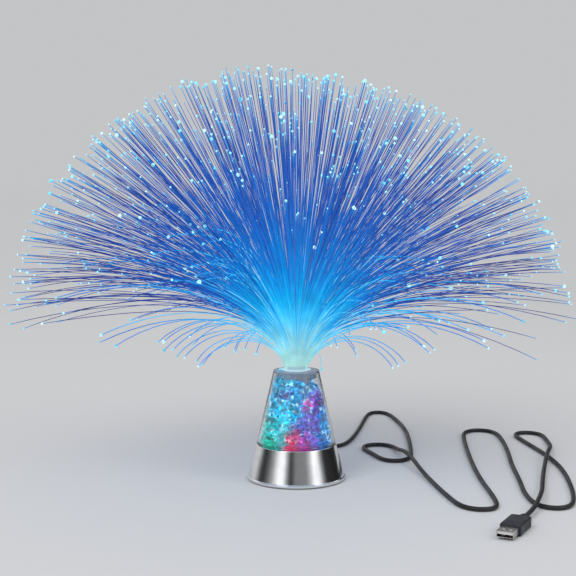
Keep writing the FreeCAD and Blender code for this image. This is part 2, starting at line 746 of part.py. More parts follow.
CORD_ROUTE = [
    (0, 50, 8.5), (0, 64, 8.5), (2, 80, 5.4), (11, 94, 2.7), (27, 102, FLOOR_Z), (43, 112, FLOOR_Z),
    (52, 136, FLOOR_Z), (62, 184, FLOOR_Z), (71, 236, FLOOR_Z), (77, 262, FLOOR_Z), (89.5, 268, FLOOR_Z),
    (101.6, 262, FLOOR_Z), (103.5, 236, FLOOR_Z), (106, 186, FLOOR_Z), (105, 132, FLOOR_Z),
    (102, 84, FLOOR_Z), (99, 60, FLOOR_Z), (88, 50, FLOOR_Z), (75, 54, FLOOR_Z), (67.5, 78, FLOOR_Z),
    (59.5, 101, FLOOR_Z), (65, 113, FLOOR_Z), (77, 116, FLOOR_Z), (87, 109, FLOOR_Z), (91, 89, 3.2),
    (94.5, 68, HUMP_Z), (98.5, 42, HUMP_Z), (103, 12, 3.2), (109, -28, FLOOR_Z), (115, -66, FLOOR_Z),
    (121, -95, FLOOR_Z), (134, -104.5, FLOOR_Z), (148, -99, FLOOR_Z), (150, -70, FLOOR_Z),
    (148, -18, FLOOR_Z), (149, 34, FLOOR_Z), (152, 86, FLOOR_Z), (156, 140, FLOOR_Z), (160, 170, FLOOR_Z),
    (175, 180, FLOOR_Z), (190, 170, FLOOR_Z), (191, 138, FLOOR_Z), (188, 90, FLOOR_Z),
    (182, 36, FLOOR_Z), (179, -16, FLOOR_Z), (175, -58, FLOOR_Z), (177, -90, FLOOR_Z),
    (189, -101, FLOOR_Z), (203, -95, FLOOR_Z), (211, -68, FLOOR_Z), (217, -28, FLOOR_Z),
    (221, 14, FLOOR_Z), (221, 52, FLOOR_Z), (216, 92, FLOOR_Z), (209, 131, FLOOR_Z), (205.5, 157, FLOOR_Z),
    (214, 167, FLOOR_Z), (227, 167.3, FLOOR_Z), (236, 158, FLOOR_Z), (234, 134, FLOOR_Z),
    (229, 102, 3.2), (221, 74, HUMP_Z), (213, 46, HUMP_Z), (203, 8, 3.2), (194, -32, 3.4),
    (187, -66, HUMP_Z), (177, -99, HUMP_Z), (169.5, -115, 4.2), (161.5, -131, 4.2),
]


def cord_tube(points, diameter, sides=6):
    """The cord's tube: straight runs joined by tangent arcs, with a flat-sided section of equal area.

    Returns the solid and the length along the path.
    """
    places = [V(*point) for point in points]
    heading = (places[1] - places[0]).normalize()
    across = heading.cross(UP).normalize()
    above = across.cross(heading)
    turn = 2 * math.pi / sides
    corner = diameter / 2 * math.sqrt(turn / math.sin(turn))
    bearings = [turn * (side + 0.5) for side in range(sides)]
    ring = [places[0] + across * (corner * math.cos(bearing)) + above * (corner * math.sin(bearing))
            for bearing in bearings]
    faces = [flat_face(ring)]
    at, length = places[0], 0.0
    for before, here, after in zip(places, places[1:], places[2:]):
        into, out = here - before, after - here
        cut = 0.45 * min(into.Length, out.Length)
        into, out = into.normalize(), out.normalize()
        bend = into.getAngle(out)
        radius = cut / math.tan(bend / 2)
        start = here - into * cut
        moved = [point + (start - at) for point in ring]
        faces += skin(ring, moved)
        axis = into.cross(out).normalize()
        middle = start + axis.cross(into) * radius
        for first, second in zip(moved, moved[1:] + moved[:1]):
            edge = Part.LineSegment(first, second).toShape()
            faces.append(edge.revolve(middle, axis, math.degrees(bend)))
        swing = FreeCAD.Rotation(axis, math.degrees(bend))
        ring = [middle + swing.multVec(point - middle) for point in moved]
        length += (start - at).Length + radius * bend
        at = here + out * cut
    moved = [point + (places[-1] - at) for point in ring]
    faces += skin(ring, moved) + [flat_face(moved)]
    return solid_of(faces), length + (places[-1] - at).Length


def make_cord():
    """The loose USB cord, lying on the floor in its own loops."""
    route = [(0, fit("relief_end_y"), size("cord_exit_height"))] + CORD_ROUTE[1:-1] + [plug_place(0)]
    solid, length = cord_tube(route, size("cord_diameter"))
    print("cord length %.0f mm" % length)
    new_feature("usb_cord", solid)


def make_strain_relief():
    """The rubber strain relief in the rear wall: a neck between two flanges, then a tail."""
    neck, flange = "Sizes.relief_neck_diameter / 2", "Sizes.relief_flange_diameter / 2"
    tail, thick = "Sizes.relief_tail_diameter / 2", "Sizes.relief_flange_thickness"
    inner, outer = "Fits.relief_inner_y", "Fits.relief_outer_y"
    profile = [
        (0, "%s - %s" % (inner, thick)), (flange, "%s - %s" % (inner, thick)), (flange, inner),
        (neck, inner), (neck, outer), (flange, outer), (flange, "%s + %s" % (outer, thick)),
        (tail, "%s + %s" % (outer, thick)), (tail, "Fits.relief_end_y"), (0, "Fits.relief_end_y"),
    ]
    body = new_body("strain_relief")
    sketch = new_sketch(body, "XY_Plane", "Sizes.cord_exit_height")
    outline(sketch, profile)
    turned(body, sketch)


def plug_heading():
    """The way the plug points: the cord's last run, level."""
    last, before = V(*CORD_ROUTE[-1]), V(*CORD_ROUTE[-2])
    level = V(last.x - before.x, last.y - before.y, 0)
    return level.normalize()


def plug_place(reach):
    """A point on the plug's axis, as x, y and z, a distance from where the cord enters it."""
    end = V(CORD_ROUTE[-1][0], CORD_ROUTE[-1][1], fit("plug_axis_z")) + plug_heading() * reach
    return (end.x, end.y, end.z)


def lay_plug(piece):
    """Lays a piece modelled along +X from the cord's end in its place on the floor."""
    heading = plug_heading()
    turn = math.degrees(math.atan2(heading.y, heading.x))
    piece.Placement = FreeCAD.Placement(V(*plug_place(0)), FreeCAD.Rotation(UP, turn))


def plug_block(name, start, length, width, thickness, height=0):
    """A rectangular piece of the plug, from start along the plug's axis."""
    body = new_body(name)
    sketch = new_sketch(body, "YZ_Plane", start)
    rectangle(sketch, 0, height, width, thickness)
    padded(body, sketch, length)
    return body


def make_plug():
    """The USB-A plug: boot, moulded grip, open steel shell with two windows, tongue and contacts."""
    boot = new_body("plug_boot")
    ends = [new_sketch(boot, "YZ_Plane", 0), new_sketch(boot, "YZ_Plane", "Sizes.boot_length")]
    slim = "Sizes.cord_diameter + Sizes.boot_wall"
    rectangle(ends[0], 0, 0, slim, slim)
    rectangle(ends[1], 0, 0, "Sizes.boot_width", "Sizes.boot_thickness")
    loft = boot.newObject("PartDesign::AdditiveLoft", "boot_taper")
    loft.Profile = ends[0]
    loft.Sections = [ends[1]]
    loft.Ruled = True
    doc.recompute()

    grip = plug_block("plug_grip", "Sizes.boot_length", "Sizes.overmould_length",
                      "Sizes.overmould_width", "Sizes.overmould_thickness")
    edges = [index for index, edge in enumerate(grip.Shape.Edges, start=1)
             if abs(edge.Length - size("overmould_length")) < 1e-6]
    block = grip.Tip
    rounded = grip.newObject("PartDesign::Chamfer", "grip_edges")
    rounded.Base = (block, ["Edge%d" % index for index in edges])
    bind(rounded, "Size", "Sizes.overmould_corner")
    doc.recompute()

    start = "Sizes.boot_length + Sizes.overmould_length"
    shell = plug_block("plug_shell", start, "Sizes.shell_length",
                       "Sizes.shell_width", "Sizes.shell_thickness")
    sketch = new_sketch(shell, "YZ_Plane", start)
    width = "Sizes.shell_width - 2 * Sizes.shell_wall"
    rectangle(sketch, 0, 0, width, "Sizes.shell_thickness - 2 * Sizes.shell_wall")
    cut_up(shell, sketch, "Sizes.shell_length")
    sketch = new_sketch(shell, "XY_Plane", "-Sizes.shell_thickness / 2")
    middle = "%s + Sizes.shell_length - Sizes.shell_window_setback" % start
    window = "Sizes.shell_window"
    for side in ("", "-"):
        rectangle(sketch, middle, "%sSizes.shell_window_spacing / 2" % side, window, window)
    cut_up(shell, sketch, "Sizes.shell_thickness")

    tongue_z = "Sizes.shell_thickness / 2 - Sizes.shell_wall - Sizes.tongue_thickness / 2"
    length = "Sizes.shell_length - Sizes.tongue_setback"
    tongue = plug_block("plug_tongue", start, length, width, "Sizes.tongue_thickness", tongue_z)
    thick = size("plug_contact_thickness")
    low = size("shell_thickness") / 2 - size("shell_wall") - size("tongue_thickness") - thick
    first = size("boot_length") + size("overmould_length")
    wide = size("plug_contact_width")
    strips = []
    for step in (-1.5, -0.5, 0.5, 1.5):
        corner = V(first, step * size("plug_contact_pitch") - wide / 2, low)
        strips.append(Part.makeBox(size("plug_contact_length"), wide, thick, corner))
    contacts = new_feature("plug_contacts", Part.makeCompound(strips))
    for piece in (boot, grip, shell, tongue, contacts):
        lay_plug(piece)


# ---------------------------------------------------------------- the lamp

make_foot()
make_base_shell()
make_base_cover()
make_battery_door()
make_battery_contacts()
make_switch()
make_light_board()
make_container()
make_diffuser()
make_top_cap()
make_spray_light()
make_crystals()
make_ferrule()
make_strands()
make_strain_relief()
make_cord()
make_plug()
doc.recompute()

for item in doc.Objects:
    if {"Invalid", "Error"} & set(item.State):
        raise RuntimeError("%s did not build: %s" % (item.Name, item.State))
for node in NODES:
    if node.Shape.isNull() or not node.Shape.isValid() or node.Shape.Volume <= 0:
        raise RuntimeError("%s has no valid shape" % node.Label)

os.makedirs("parts", exist_ok=True)
for node in NODES:
    node.Shape.exportStep("parts/%s.step" % node.Label)
print("%d nodes" % len(NODES))
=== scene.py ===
"""Looks of the fibre optic lamp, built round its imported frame.

A chrome cone base stands on a rubber ring. A clear cone full of lit crystals stands in it, and a spray of
light fibres lifts out of the cap on top. A USB cord lies loose beside the lamp. Shapes are worked out in
millimetres and written to their meshes in metres. Every random number is seeded, so each run gives the same
lamp.
"""

import logging
import math
from collections.abc import Sequence
from dataclasses import dataclass, field
from enum import Enum

import bmesh
import bpy
import numpy as np
from mathutils import Matrix, Vector


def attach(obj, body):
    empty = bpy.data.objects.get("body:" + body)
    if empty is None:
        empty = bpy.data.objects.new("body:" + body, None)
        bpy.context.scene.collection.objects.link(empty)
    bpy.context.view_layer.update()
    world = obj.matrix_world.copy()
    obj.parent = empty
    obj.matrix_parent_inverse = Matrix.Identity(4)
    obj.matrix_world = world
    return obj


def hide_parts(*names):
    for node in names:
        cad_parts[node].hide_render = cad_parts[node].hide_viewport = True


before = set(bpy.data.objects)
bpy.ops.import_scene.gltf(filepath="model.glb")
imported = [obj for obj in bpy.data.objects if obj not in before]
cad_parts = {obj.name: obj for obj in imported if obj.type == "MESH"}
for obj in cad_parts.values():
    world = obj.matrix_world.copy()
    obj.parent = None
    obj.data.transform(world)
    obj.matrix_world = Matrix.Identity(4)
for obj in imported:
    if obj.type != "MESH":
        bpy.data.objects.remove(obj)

LOG = logging.getLogger("lamp")
METRES = 0.001
TOUCHING = 0.002
SAME_SPOT = 1e-6
SEED = 7100
GOLDEN_TURN = math.pi * (3 - math.sqrt(5))

Array = np.ndarray
Pair = tuple[float, float]
Place = tuple[float, float, float]
Colour = tuple[float, float, float]
Stops = Sequence[tuple[float, Colour]]
Item = bpy.types.Object
Material = bpy.types.Material
Socket = bpy.types.NodeSocket


class Body(Enum):
    """The moving bodies of the frame."""

    BASE = "base"
    SPRAY = "fibre_spray"
    DOOR = "battery_door"
    KNOB = "switch_knob"


# ---------------------------------------------------------------- surfaces


@dataclass
class Surface:
    """A mesh in the making.

    points holds the places in millimetres, one row each. faces holds arrays of point numbers, one array for
    each count of corners. maps and paints hold, for each corner of each face in order, a place on a UV map
    and a colour.
    """

    points: Array
    faces: list[Array]
    maps: dict[str, Array] = field(default_factory=dict)
    paints: dict[str, Array] = field(default_factory=dict)

    def moved(self, matrix: Array) -> "Surface":
        """Gives this surface carried by a 4 x 4 matrix.

        Args:
            matrix: The turn and shift, in millimetres.

        Returns:
            A surface with the same faces.
        """
        places = self.points @ matrix[:3, :3].T + matrix[:3, 3]
        return Surface(places, self.faces, self.maps, self.paints)

    @staticmethod
    def joined(surfaces: Sequence["Surface"]) -> "Surface":
        """Puts several surfaces without maps into one.

        Args:
            surfaces: The surfaces, in order.

        Returns:
            One surface with all their points and faces.
        """
        starts = np.cumsum([0] + [len(surface.points) for surface in surfaces])
        faces = [rows + start for surface, start in zip(surfaces, starts) for rows in surface.faces]
        return Surface(np.concatenate([surface.points for surface in surfaces]), faces)


def grid_faces(rows: int, columns: int, ring_rows: bool, ring_columns: bool) -> Array:
    """Numbers the four-sided faces of a grid of points kept row by row.

    Args:
        rows: How many rows of points there are.
        columns: How many points each row has.
        ring_rows: Whether the last row joins the first.
        ring_columns: Whether the last column joins the first.

    Returns:
        An array of four point numbers for each face.
    """
    row = np.arange(rows if ring_rows else rows - 1)[:, None]
    column = np.arange(columns if ring_columns else columns - 1)[None, :]
    after_row, after_column = (row + 1) % rows, (column + 1) % columns
    corners = (row * columns + column, row * columns + after_column)
    corners += (after_row * columns + after_column, after_row * columns + column)
    return np.stack([np.broadcast_to(corner, corners[0].shape) for corner in corners], -1).reshape(-1, 4)


def softened(corners: Sequence[Pair], cut: float | Sequence[float], steps: int = 4,
             ring: bool = True) -> Array:
    """Rounds an outline: each corner gives way to a curve that leaves one side and meets the next.

    The curve is (1-t)^2 a + 2t(1-t) p + t^2 b, where p is the corner and a and b lie a cut away from it.

    Args:
        corners: The outline's corners, as two numbers each.
        cut: How far from each corner its curve starts, one number or one for each corner.
        steps: How many pieces each curve has.
        ring: Whether the last corner joins the first. The ends of an open outline stay sharp.

    Returns:
        The rounded outline's points.
    """
    here = np.array(corners, float)
    before, after = np.roll(here, 1, 0), np.roll(here, -1, 0)
    reach = np.broadcast_to(np.asarray(cut, float), len(here)).copy()
    if not ring:
        reach[[0, -1]] = 0
        before[0], after[-1] = here[1], here[-2]
    into, out = before - here, after - here
    lengths = np.linalg.norm(into, axis=1), np.linalg.norm(out, axis=1)
    reach = np.minimum(reach, 0.49 * np.minimum(*lengths))
    start = here + into * (reach / lengths[0])[:, None]
    end = here + out * (reach / lengths[1])[:, None]
    t = np.linspace(0, 1, steps + 1)[None, :, None]
    curve = (1 - t) ** 2 * start[:, None] + 2 * t * (1 - t) * here[:, None] + t ** 2 * end[:, None]
    curve = curve.reshape(-1, 2)
    apart = np.linalg.norm(np.diff(curve, axis=0), axis=1) > SAME_SPOT
    return curve[np.append(apart, True)]


def round_points(radius: Array | float, turn: Array, height: Array | float) -> Array:
    """Gives the points (r cos t, r sin t, z).

    Args:
        radius: r for each point.
        turn: t for each point, in radians.
        height: z for each point.

    Returns:
        One row of three numbers for each point.
    """
    return np.stack(np.broadcast_arrays(radius * np.cos(turn), radius * np.sin(turn), height), -1)


def lathed(outline: Array, turns: int, ring: bool = True) -> Surface:
    """Turns an outline about Z: the point (r, z) at turn t goes to (r cos t, r sin t, z).

    Args:
        outline: Radius and height of each point.
        turns: How many columns of faces go round.
        ring: Whether the outline's end joins its start. If not, it starts and ends on the axis.

    Returns:
        The turned surface.
    """
    turn = 2 * math.pi * np.arange(turns) / turns
    points = round_points(outline[:, 0, None], turn, outline[:, 1, None])
    return Surface(points.reshape(-1, 3), [grid_faces(len(outline), turns, ring, True)])


def swept(path: Array, sideways: Array, section: Array) -> Surface:
    """Carries a section along paths: a corner (u, v) at point p goes to p + u a + v (a x h).

    h is the path's heading there and a is sideways, made square to h.

    Args:
        path: Points of one or more paths, as paths x points x 3.
        sideways: A direction for each path, or for each point of each path.
        section: The section's corners, as two numbers each, or the same for each point of the path.

    Returns:
        The tubes of all paths in one surface, each closed at both ends with one flat face.
    """
    count, length = path.shape[:2]
    heading = np.gradient(path, axis=1)
    heading /= np.linalg.norm(heading, axis=-1, keepdims=True)
    across = np.broadcast_to(sideways if sideways.ndim == 3 else sideways[:, None], path.shape)
    across = across - heading * np.sum(across * heading, -1, keepdims=True)
    across = across / np.linalg.norm(across, axis=-1, keepdims=True)
    above = np.cross(across, heading)
    corners = np.broadcast_to(section, (length, *section.shape[-2:]))
    sides = corners.shape[1]
    points = (path[:, :, None] + across[:, :, None] * corners[None, :, :, :1]
              + above[:, :, None] * corners[None, :, :, 1:])
    one = grid_faces(length, sides, False, True)
    starts = (np.arange(count) * length * sides)[:, None, None]
    first = np.arange(sides)[::-1]
    last = np.arange(sides) + (length - 1) * sides
    ends = (np.stack([first, last]) + starts).reshape(-1, sides)
    return Surface(points.reshape(-1, 3), [(one + starts).reshape(-1, 4), ends])


def middle_turns(sides: int) -> Array:
    """Gives the bearings of a regular section's corners, half a side on from X."""
    return 2 * math.pi * (np.arange(sides) + 0.5) / sides


def disc_section(radius: float, sides: int) -> Array:
    """Gives the corners of a regular section of that radius.

    Args:
        radius: From the middle to a corner.
        sides: How many corners it has.

    Returns:
        Two numbers for each corner.
    """
    turn = middle_turns(sides)
    return radius * np.stack([np.cos(turn), np.sin(turn)], -1)


def pebble_section(half_width: Array, half_height: Array, squareness: float, sides: int) -> Array:
    """Gives rounded rectangles: (a sgn(cos t)|cos t|^(2/n), b sgn(sin t)|sin t|^(2/n)).

    Args:
        half_width: a for each section.
        half_height: b for each section.
        squareness: n, where 2 is an ellipse and larger is squarer.
        sides: How many corners each section has.

    Returns:
        Sections x corners x 2.
    """
    turn = middle_turns(sides)
    power = 2 / squareness
    wide = np.sign(np.cos(turn)) * np.abs(np.cos(turn)) ** power
    tall = np.sign(np.sin(turn)) * np.abs(np.sin(turn)) ** power
    return np.stack([half_width[:, None] * wide, half_height[:, None] * tall], -1)


def turned_by(axis: str, degrees: float, shift: Sequence[float] = (0, 0, 0)) -> Array:
    """Gives the 4 x 4 matrix of a turn about one axis and then a shift in millimetres.

    Args:
        axis: X, Y or Z.
        degrees: The turn.
        shift: Where the origin goes.

    Returns:
        The matrix.
    """
    matrix = np.array(Matrix.Rotation(math.radians(degrees), 4, axis))
    matrix[:3, 3] = shift
    return matrix


def rng(number: int) -> np.random.Generator:
    """Gives the seeded source of random numbers for one use."""
    return np.random.default_rng(SEED + number)


# ---------------------------------------------------------------- pieces


def placed(name: str, data: bpy.types.ID) -> Item:
    """Puts a new object into the scene.

    Args:
        name: The object's name.
        data: Its mesh, curve, camera or lamp.

    Returns:
        The object, at the origin.
    """
    item = bpy.data.objects.new(name, data)
    bpy.context.scene.collection.objects.link(item)
    return item


def write_piece(name: str, surface: Surface, body: Body, finish: Material,
                replaces: Sequence[str] = (), sharp: float | None = 35.0, tidy: bool = True) -> Item:
    """Writes a surface as a finished piece that rides on a body.

    Args:
        name: The piece's name.
        surface: Its shape in millimetres.
        body: The body that it moves with.
        finish: Its material.
        replaces: The frame's nodes that it stands for.
        sharp: Edges that bend more than this many degrees stay sharp; None leaves every face flat.
        tidy: Whether touching points are merged and the faces turned outwards.

    Returns:
        The new object.
    """
    mesh = bpy.data.meshes.new(name)
    faces = [row for rows in surface.faces for row in rows.tolist()]
    mesh.from_pydata((surface.points * METRES).tolist(), [], faces)
    for title, places in surface.maps.items():
        mesh.uv_layers.new(name=title).data.foreach_set("uv", places.astype(np.float32).ravel())
    for title, colours in surface.paints.items():
        paint = mesh.attributes.new(title, "FLOAT_COLOR", "CORNER")
        paint.data.foreach_set("color", colours.astype(np.float32).ravel())
    if tidy:
        work = bmesh.new()
        work.from_mesh(mesh)
        bmesh.ops.remove_doubles(work, verts=work.verts, dist=TOUCHING * METRES)
        bmesh.ops.recalc_face_normals(work, faces=work.faces)
        work.to_mesh(mesh)
        work.free()
    mesh.polygons.foreach_set("use_smooth", [sharp is not None] * len(mesh.polygons))
    if sharp is not None:
        mesh.set_sharp_from_angle(angle=math.radians(sharp))
    mesh.materials.append(finish)
    mesh.update()
    piece = placed(name, mesh)
    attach(piece, body.value)
    if replaces:
        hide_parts(*replaces)
    LOG.info("%s: %d points, %d faces, on %s", name, len(mesh.vertices), len(mesh.polygons), body.value)
    return piece


def dress(node: str, finish: Material) -> None:
    """Gives a node of the frame a finish.

    Args:
        node: The node's name.
        finish: The material for all its slots.
    """
    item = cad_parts[node]
    if not item.material_slots:
        item.data.materials.append(finish)
    for slot in item.material_slots:
        slot.material = finish
    LOG.info("%s: dressed in %s", node, finish.name)


# ---------------------------------------------------------------- finishes


class Wiring:
    """The nodes of one material round its main shader."""

    def __init__(self, name: str, **settings: float | Colour) -> None:
        """Starts a material.

        Args:
            name: The material's name.
            settings: Values of the shader's sockets, with _ for each space in a socket's name.
        """
        self.material = bpy.data.materials.new(name)
        self.material.use_nodes = True
        self.tree = self.material.node_tree
        self.tree.nodes.clear()
        self.shader = self.add("ShaderNodeBsdfPrincipled")
        output = self.add("ShaderNodeOutputMaterial")
        self.join(self.shader.outputs["BSDF"], output.inputs["Surface"])
        for socket, value in settings.items():
            self.shader.inputs[socket.replace("_", " ")].default_value = self.filled(value)

    @staticmethod
    def filled(value: float | Colour) -> float | tuple[float, float, float, float]:
        """Gives a colour its fourth number, and leaves a plain value as it is."""
        return (*value, 1.0) if isinstance(value, tuple) else value

    def add(self, kind: str, **settings: object) -> bpy.types.Node:
        """Adds a node.

        Args:
            kind: The node's type.
            settings: Values of the node's own properties.

        Returns:
            The node.
        """
        node = self.tree.nodes.new(kind)
        for title, value in settings.items():
            setattr(node, title, value)
        return node

    def join(self, source: Socket, target: Socket) -> None:
        """Links one socket to another."""
        self.tree.links.new(source, target)

    def feed(self, socket: str, source: Socket) -> None:
        """Links a value or colour to a socket of the main shader."""
        self.join(source, self.shader.inputs[socket])

    def put(self, target: Socket, value: object) -> None:
        """Fills a socket.

        Args:
            target: The socket to fill.
            value: A socket to link to it, or a plain value or colour.
        """
        if isinstance(value, Socket):
            self.join(value, target)
        else:
            target.default_value = self.filled(value)

    def place(self, stretch: Place = (1.0, 1.0, 1.0), turn: float = 0.0) -> Socket:
        """Gives the place on the object in metres, stretched and turned about Z.

        Args:
            stretch: A factor for each axis.
            turn: Degrees about Z.

        Returns:
            The vector socket.
        """
        mapping = self.add("ShaderNodeMapping")
        mapping.inputs["Scale"].default_value = stretch
        mapping.inputs["Rotation"].default_value = (0, 0, math.radians(turn))
        self.join(self.add("ShaderNodeTexCoord").outputs["Object"], mapping.inputs["Vector"])
        return mapping.outputs["Vector"]

    def noise(self, pitch: float, detail: float = 3.0, where: Socket | None = None) -> Socket:
        """Gives cloudy noise from 0 to 1.

        Args:
            pitch: The size of one cloud in millimetres.
            detail: How many finer layers it has.
            where: The place to read it at; the object's own place if left out.

        Returns:
            The value socket.
        """
        node = self.add("ShaderNodeTexNoise")
        node.inputs["Scale"].default_value = 1 / (pitch * METRES)
        node.inputs["Detail"].default_value = detail
        self.join(where or self.place(), node.inputs["Vector"])
        return node.outputs["Fac"]

    def cells(self, pitch: float, output: str = "Distance", feature: str = "F1") -> Socket:
        """Gives cells of that size in millimetres: the distance to a middle, or each cell's colour.

        Args:
            pitch: The size of one cell in millimetres.
            output: Distance or Color.
            feature: F1 or DISTANCE_TO_EDGE.

        Returns:
            The value or colour socket.
        """
        node = self.add("ShaderNodeTexVoronoi", feature=feature)
        node.inputs["Scale"].default_value = 1 / (pitch * METRES)
        self.join(self.place(), node.inputs["Vector"])
        return node.outputs[output]

    def span(self, value: Socket, low: float, high: float, start: float = 0.3,
             end: float = 0.7) -> Socket:
        """Maps start..end of a value to low..high, held at the ends.

        Args:
            value: The value to map.
            low: What start becomes.
            high: What end becomes.
            start: The lower end of the value's useful range.
            end: The upper end.

        Returns:
            The mapped value's socket.
        """
        node = self.add("ShaderNodeMapRange")
        self.join(value, node.inputs["Value"])
        for title, number in (("From Min", start), ("From Max", end), ("To Min", low), ("To Max", high)):
            node.inputs[title].default_value = number
        return node.outputs["Result"]

    def mixed(self, share: object, first: object, second: object, way: str = "MIX") -> Socket:
        """Mixes two colours.

        Args:
            share: How much of the second, a value or a socket.
            first: A colour or a socket.
            second: A colour or a socket.
            way: Blender's blend type.

        Returns:
            The colour socket.
        """
        node = self.add("ShaderNodeMix", data_type="RGBA", blend_type=way)
        self.put(node.inputs["Factor"], share)
        self.put(node.inputs[6], first)
        self.put(node.inputs[7], second)
        return node.outputs[2]

    def ramp(self, value: Socket, stops: Stops) -> Socket:
        """Runs a value through colours.

        Args:
            value: The value to look up.
            stops: Each stop's place and colour, in order.

        Returns:
            The colour socket.
        """
        node = self.add("ShaderNodeValToRGB")
        self.join(value, node.inputs["Fac"])
        row = node.color_ramp.elements
        for extra in range(len(stops) - 2):
            row.new((extra + 1) / len(stops))
        for element, (place, colour) in zip(row, stops):
            element.position, element.color = place, (*colour, 1.0)
        return node.outputs["Color"]

    def scaled(self, colour: Socket, factor: Socket) -> Socket:
        """Makes a colour brighter or darker.

        Args:
            colour: The colour's socket.
            factor: What it is multiplied by.

        Returns:
            The colour socket.
        """
        node = self.add("ShaderNodeVectorMath", operation="SCALE")
        self.join(colour, node.inputs[0])
        self.join(factor, node.inputs["Scale"])
        return node.outputs["Vector"]

    def on_map(self, title: str) -> tuple[Socket, Socket]:
        """Gives the two numbers that one of the piece's own maps holds.

        Args:
            title: The map's name.

        Returns:
            The sockets of the place across and the place up.
        """
        split = self.add("ShaderNodeSeparateXYZ")
        self.join(self.add("ShaderNodeUVMap", uv_map=title).outputs["UV"], split.inputs["Vector"])
        return split.outputs["X"], split.outputs["Y"]

    def bump(self, height: Socket, depth: float, strength: float = 1.0) -> None:
        """Bumps the surface by a height from 0 to 1.

        Args:
            height: The height's socket.
            depth: The bump's depth in millimetres.
            strength: How strongly it shows.
        """
        node = self.add("ShaderNodeBump")
        node.inputs["Strength"].default_value = strength
        node.inputs["Distance"].default_value = depth * METRES
        self.join(height, node.inputs["Height"])
        self.feed("Normal", node.outputs["Normal"])


@dataclass(frozen=True)
class Plating:
    """A bright metal skin, with faint rings from its mould and a haze of fine rubbing."""

    name: str
    bright: Colour
    dull: Colour
    smooth: float
    rough: float
    ring_pitch: float = 0.25
    ring_depth: float = 0.004

    def make(self) -> Material:
        """Builds the material.

        Returns:
            The new material.
        """
        wiring = Wiring(self.name, Metallic=1.0)
        haze = wiring.noise(pitch=9.0, detail=5.0)
        wiring.feed("Base Color", wiring.mixed(wiring.span(haze, 0, 1), self.bright, self.dull))
        rub = wiring.noise(pitch=2.2, detail=6.0, where=wiring.place((1.0, 1.0, 6.0)))
        wiring.feed("Roughness", wiring.span(rub, self.smooth, self.rough))
        rings = wiring.noise(pitch=self.ring_pitch, detail=2.0, where=wiring.place((0.02, 0.02, 1.0)))
        wiring.bump(rings, self.ring_depth, 0.6)
        return wiring.material


@dataclass(frozen=True)
class Moulding:
    """Moulded plastic or rubber: mottled colour, a grained skin and wear where it has been handled."""

    name: str
    colour: Colour
    worn: Colour
    smooth: float
    rough: float
    grain: float = 0.45
    depth: float = 0.03
    coat: float = 0.0
    mottle: float = 7.0

    def make(self) -> Material:
        """Builds the material.

        Returns:
            The new material.
        """
        wiring = Wiring(self.name, Coat_Weight=self.coat, Coat_Roughness=0.15, IOR=1.5)
        mottle = wiring.noise(pitch=self.mottle, detail=4.0)
        base = wiring.mixed(wiring.span(mottle, 0, 0.55), self.colour, self.worn)
        scuff = wiring.noise(pitch=1.3, detail=8.0, where=wiring.place((1.0, 3.0, 1.0), 31))
        wiring.feed("Base Color", wiring.mixed(wiring.span(scuff, 0, 0.5, 0.58, 0.74), base, self.worn))
        wiring.feed("Roughness", wiring.span(mottle, self.rough, self.smooth))
        wiring.bump(wiring.noise(pitch=self.grain, detail=2.0), self.depth)
        return wiring.material


@dataclass(frozen=True)
class ClearPlastic:
    """Clear or tinted acrylic with faint flow marks from the mould and fine surface haze."""

    name: str
    tint: Colour
    smooth: float = 0.01
    rough: float = 0.06
    through: float = 1.0
    flow_depth: float = 0.02

    def make(self) -> Material:
        """Builds the material.

        Returns:
            The new material.
        """
        wiring = Wiring(self.name, IOR=1.49, Transmission_Weight=self.through)
        pale = tuple(min(1.0, part * 1.06) for part in self.tint)
        flow = wiring.noise(pitch=16.0, detail=2.0, where=wiring.place((1.0, 1.0, 0.35)))
        wiring.feed("Base Color", wiring.mixed(wiring.span(flow, 0, 1), self.tint, pale))
        haze = wiring.noise(pitch=1.8, detail=6.0)
        wiring.feed("Roughness", wiring.span(haze, self.smooth, self.rough, 0.45, 0.75))
        wiring.bump(flow, self.flow_depth)
        return wiring.material


@dataclass(frozen=True)
class Frosting:
    """Milky plastic lit from behind: soft light that varies over it, under a matt skin."""

    name: str
    colour: Colour
    glow: Colour
    strength: float
    dim: float = 0.6
    pitch: float = 6.0

    def make(self) -> Material:
        """Builds the material.

        Returns:
            The new material.
        """
        wiring = Wiring(self.name, Emission_Strength=self.strength, IOR=1.45)
        cloud = wiring.noise(pitch=self.pitch, detail=3.0)
        darker = tuple(part * self.dim for part in self.glow)
        wiring.feed("Emission Color", wiring.mixed(wiring.span(cloud, 0, 1), self.glow, darker))
        wiring.feed("Base Color", wiring.mixed(wiring.span(cloud, 0, 0.4), self.colour, darker))
        wiring.feed("Roughness", wiring.span(wiring.noise(pitch=1.0, detail=4.0), 0.35, 0.55))
        wiring.bump(wiring.noise(pitch=0.4, detail=2.0), 0.02)
        return wiring.material


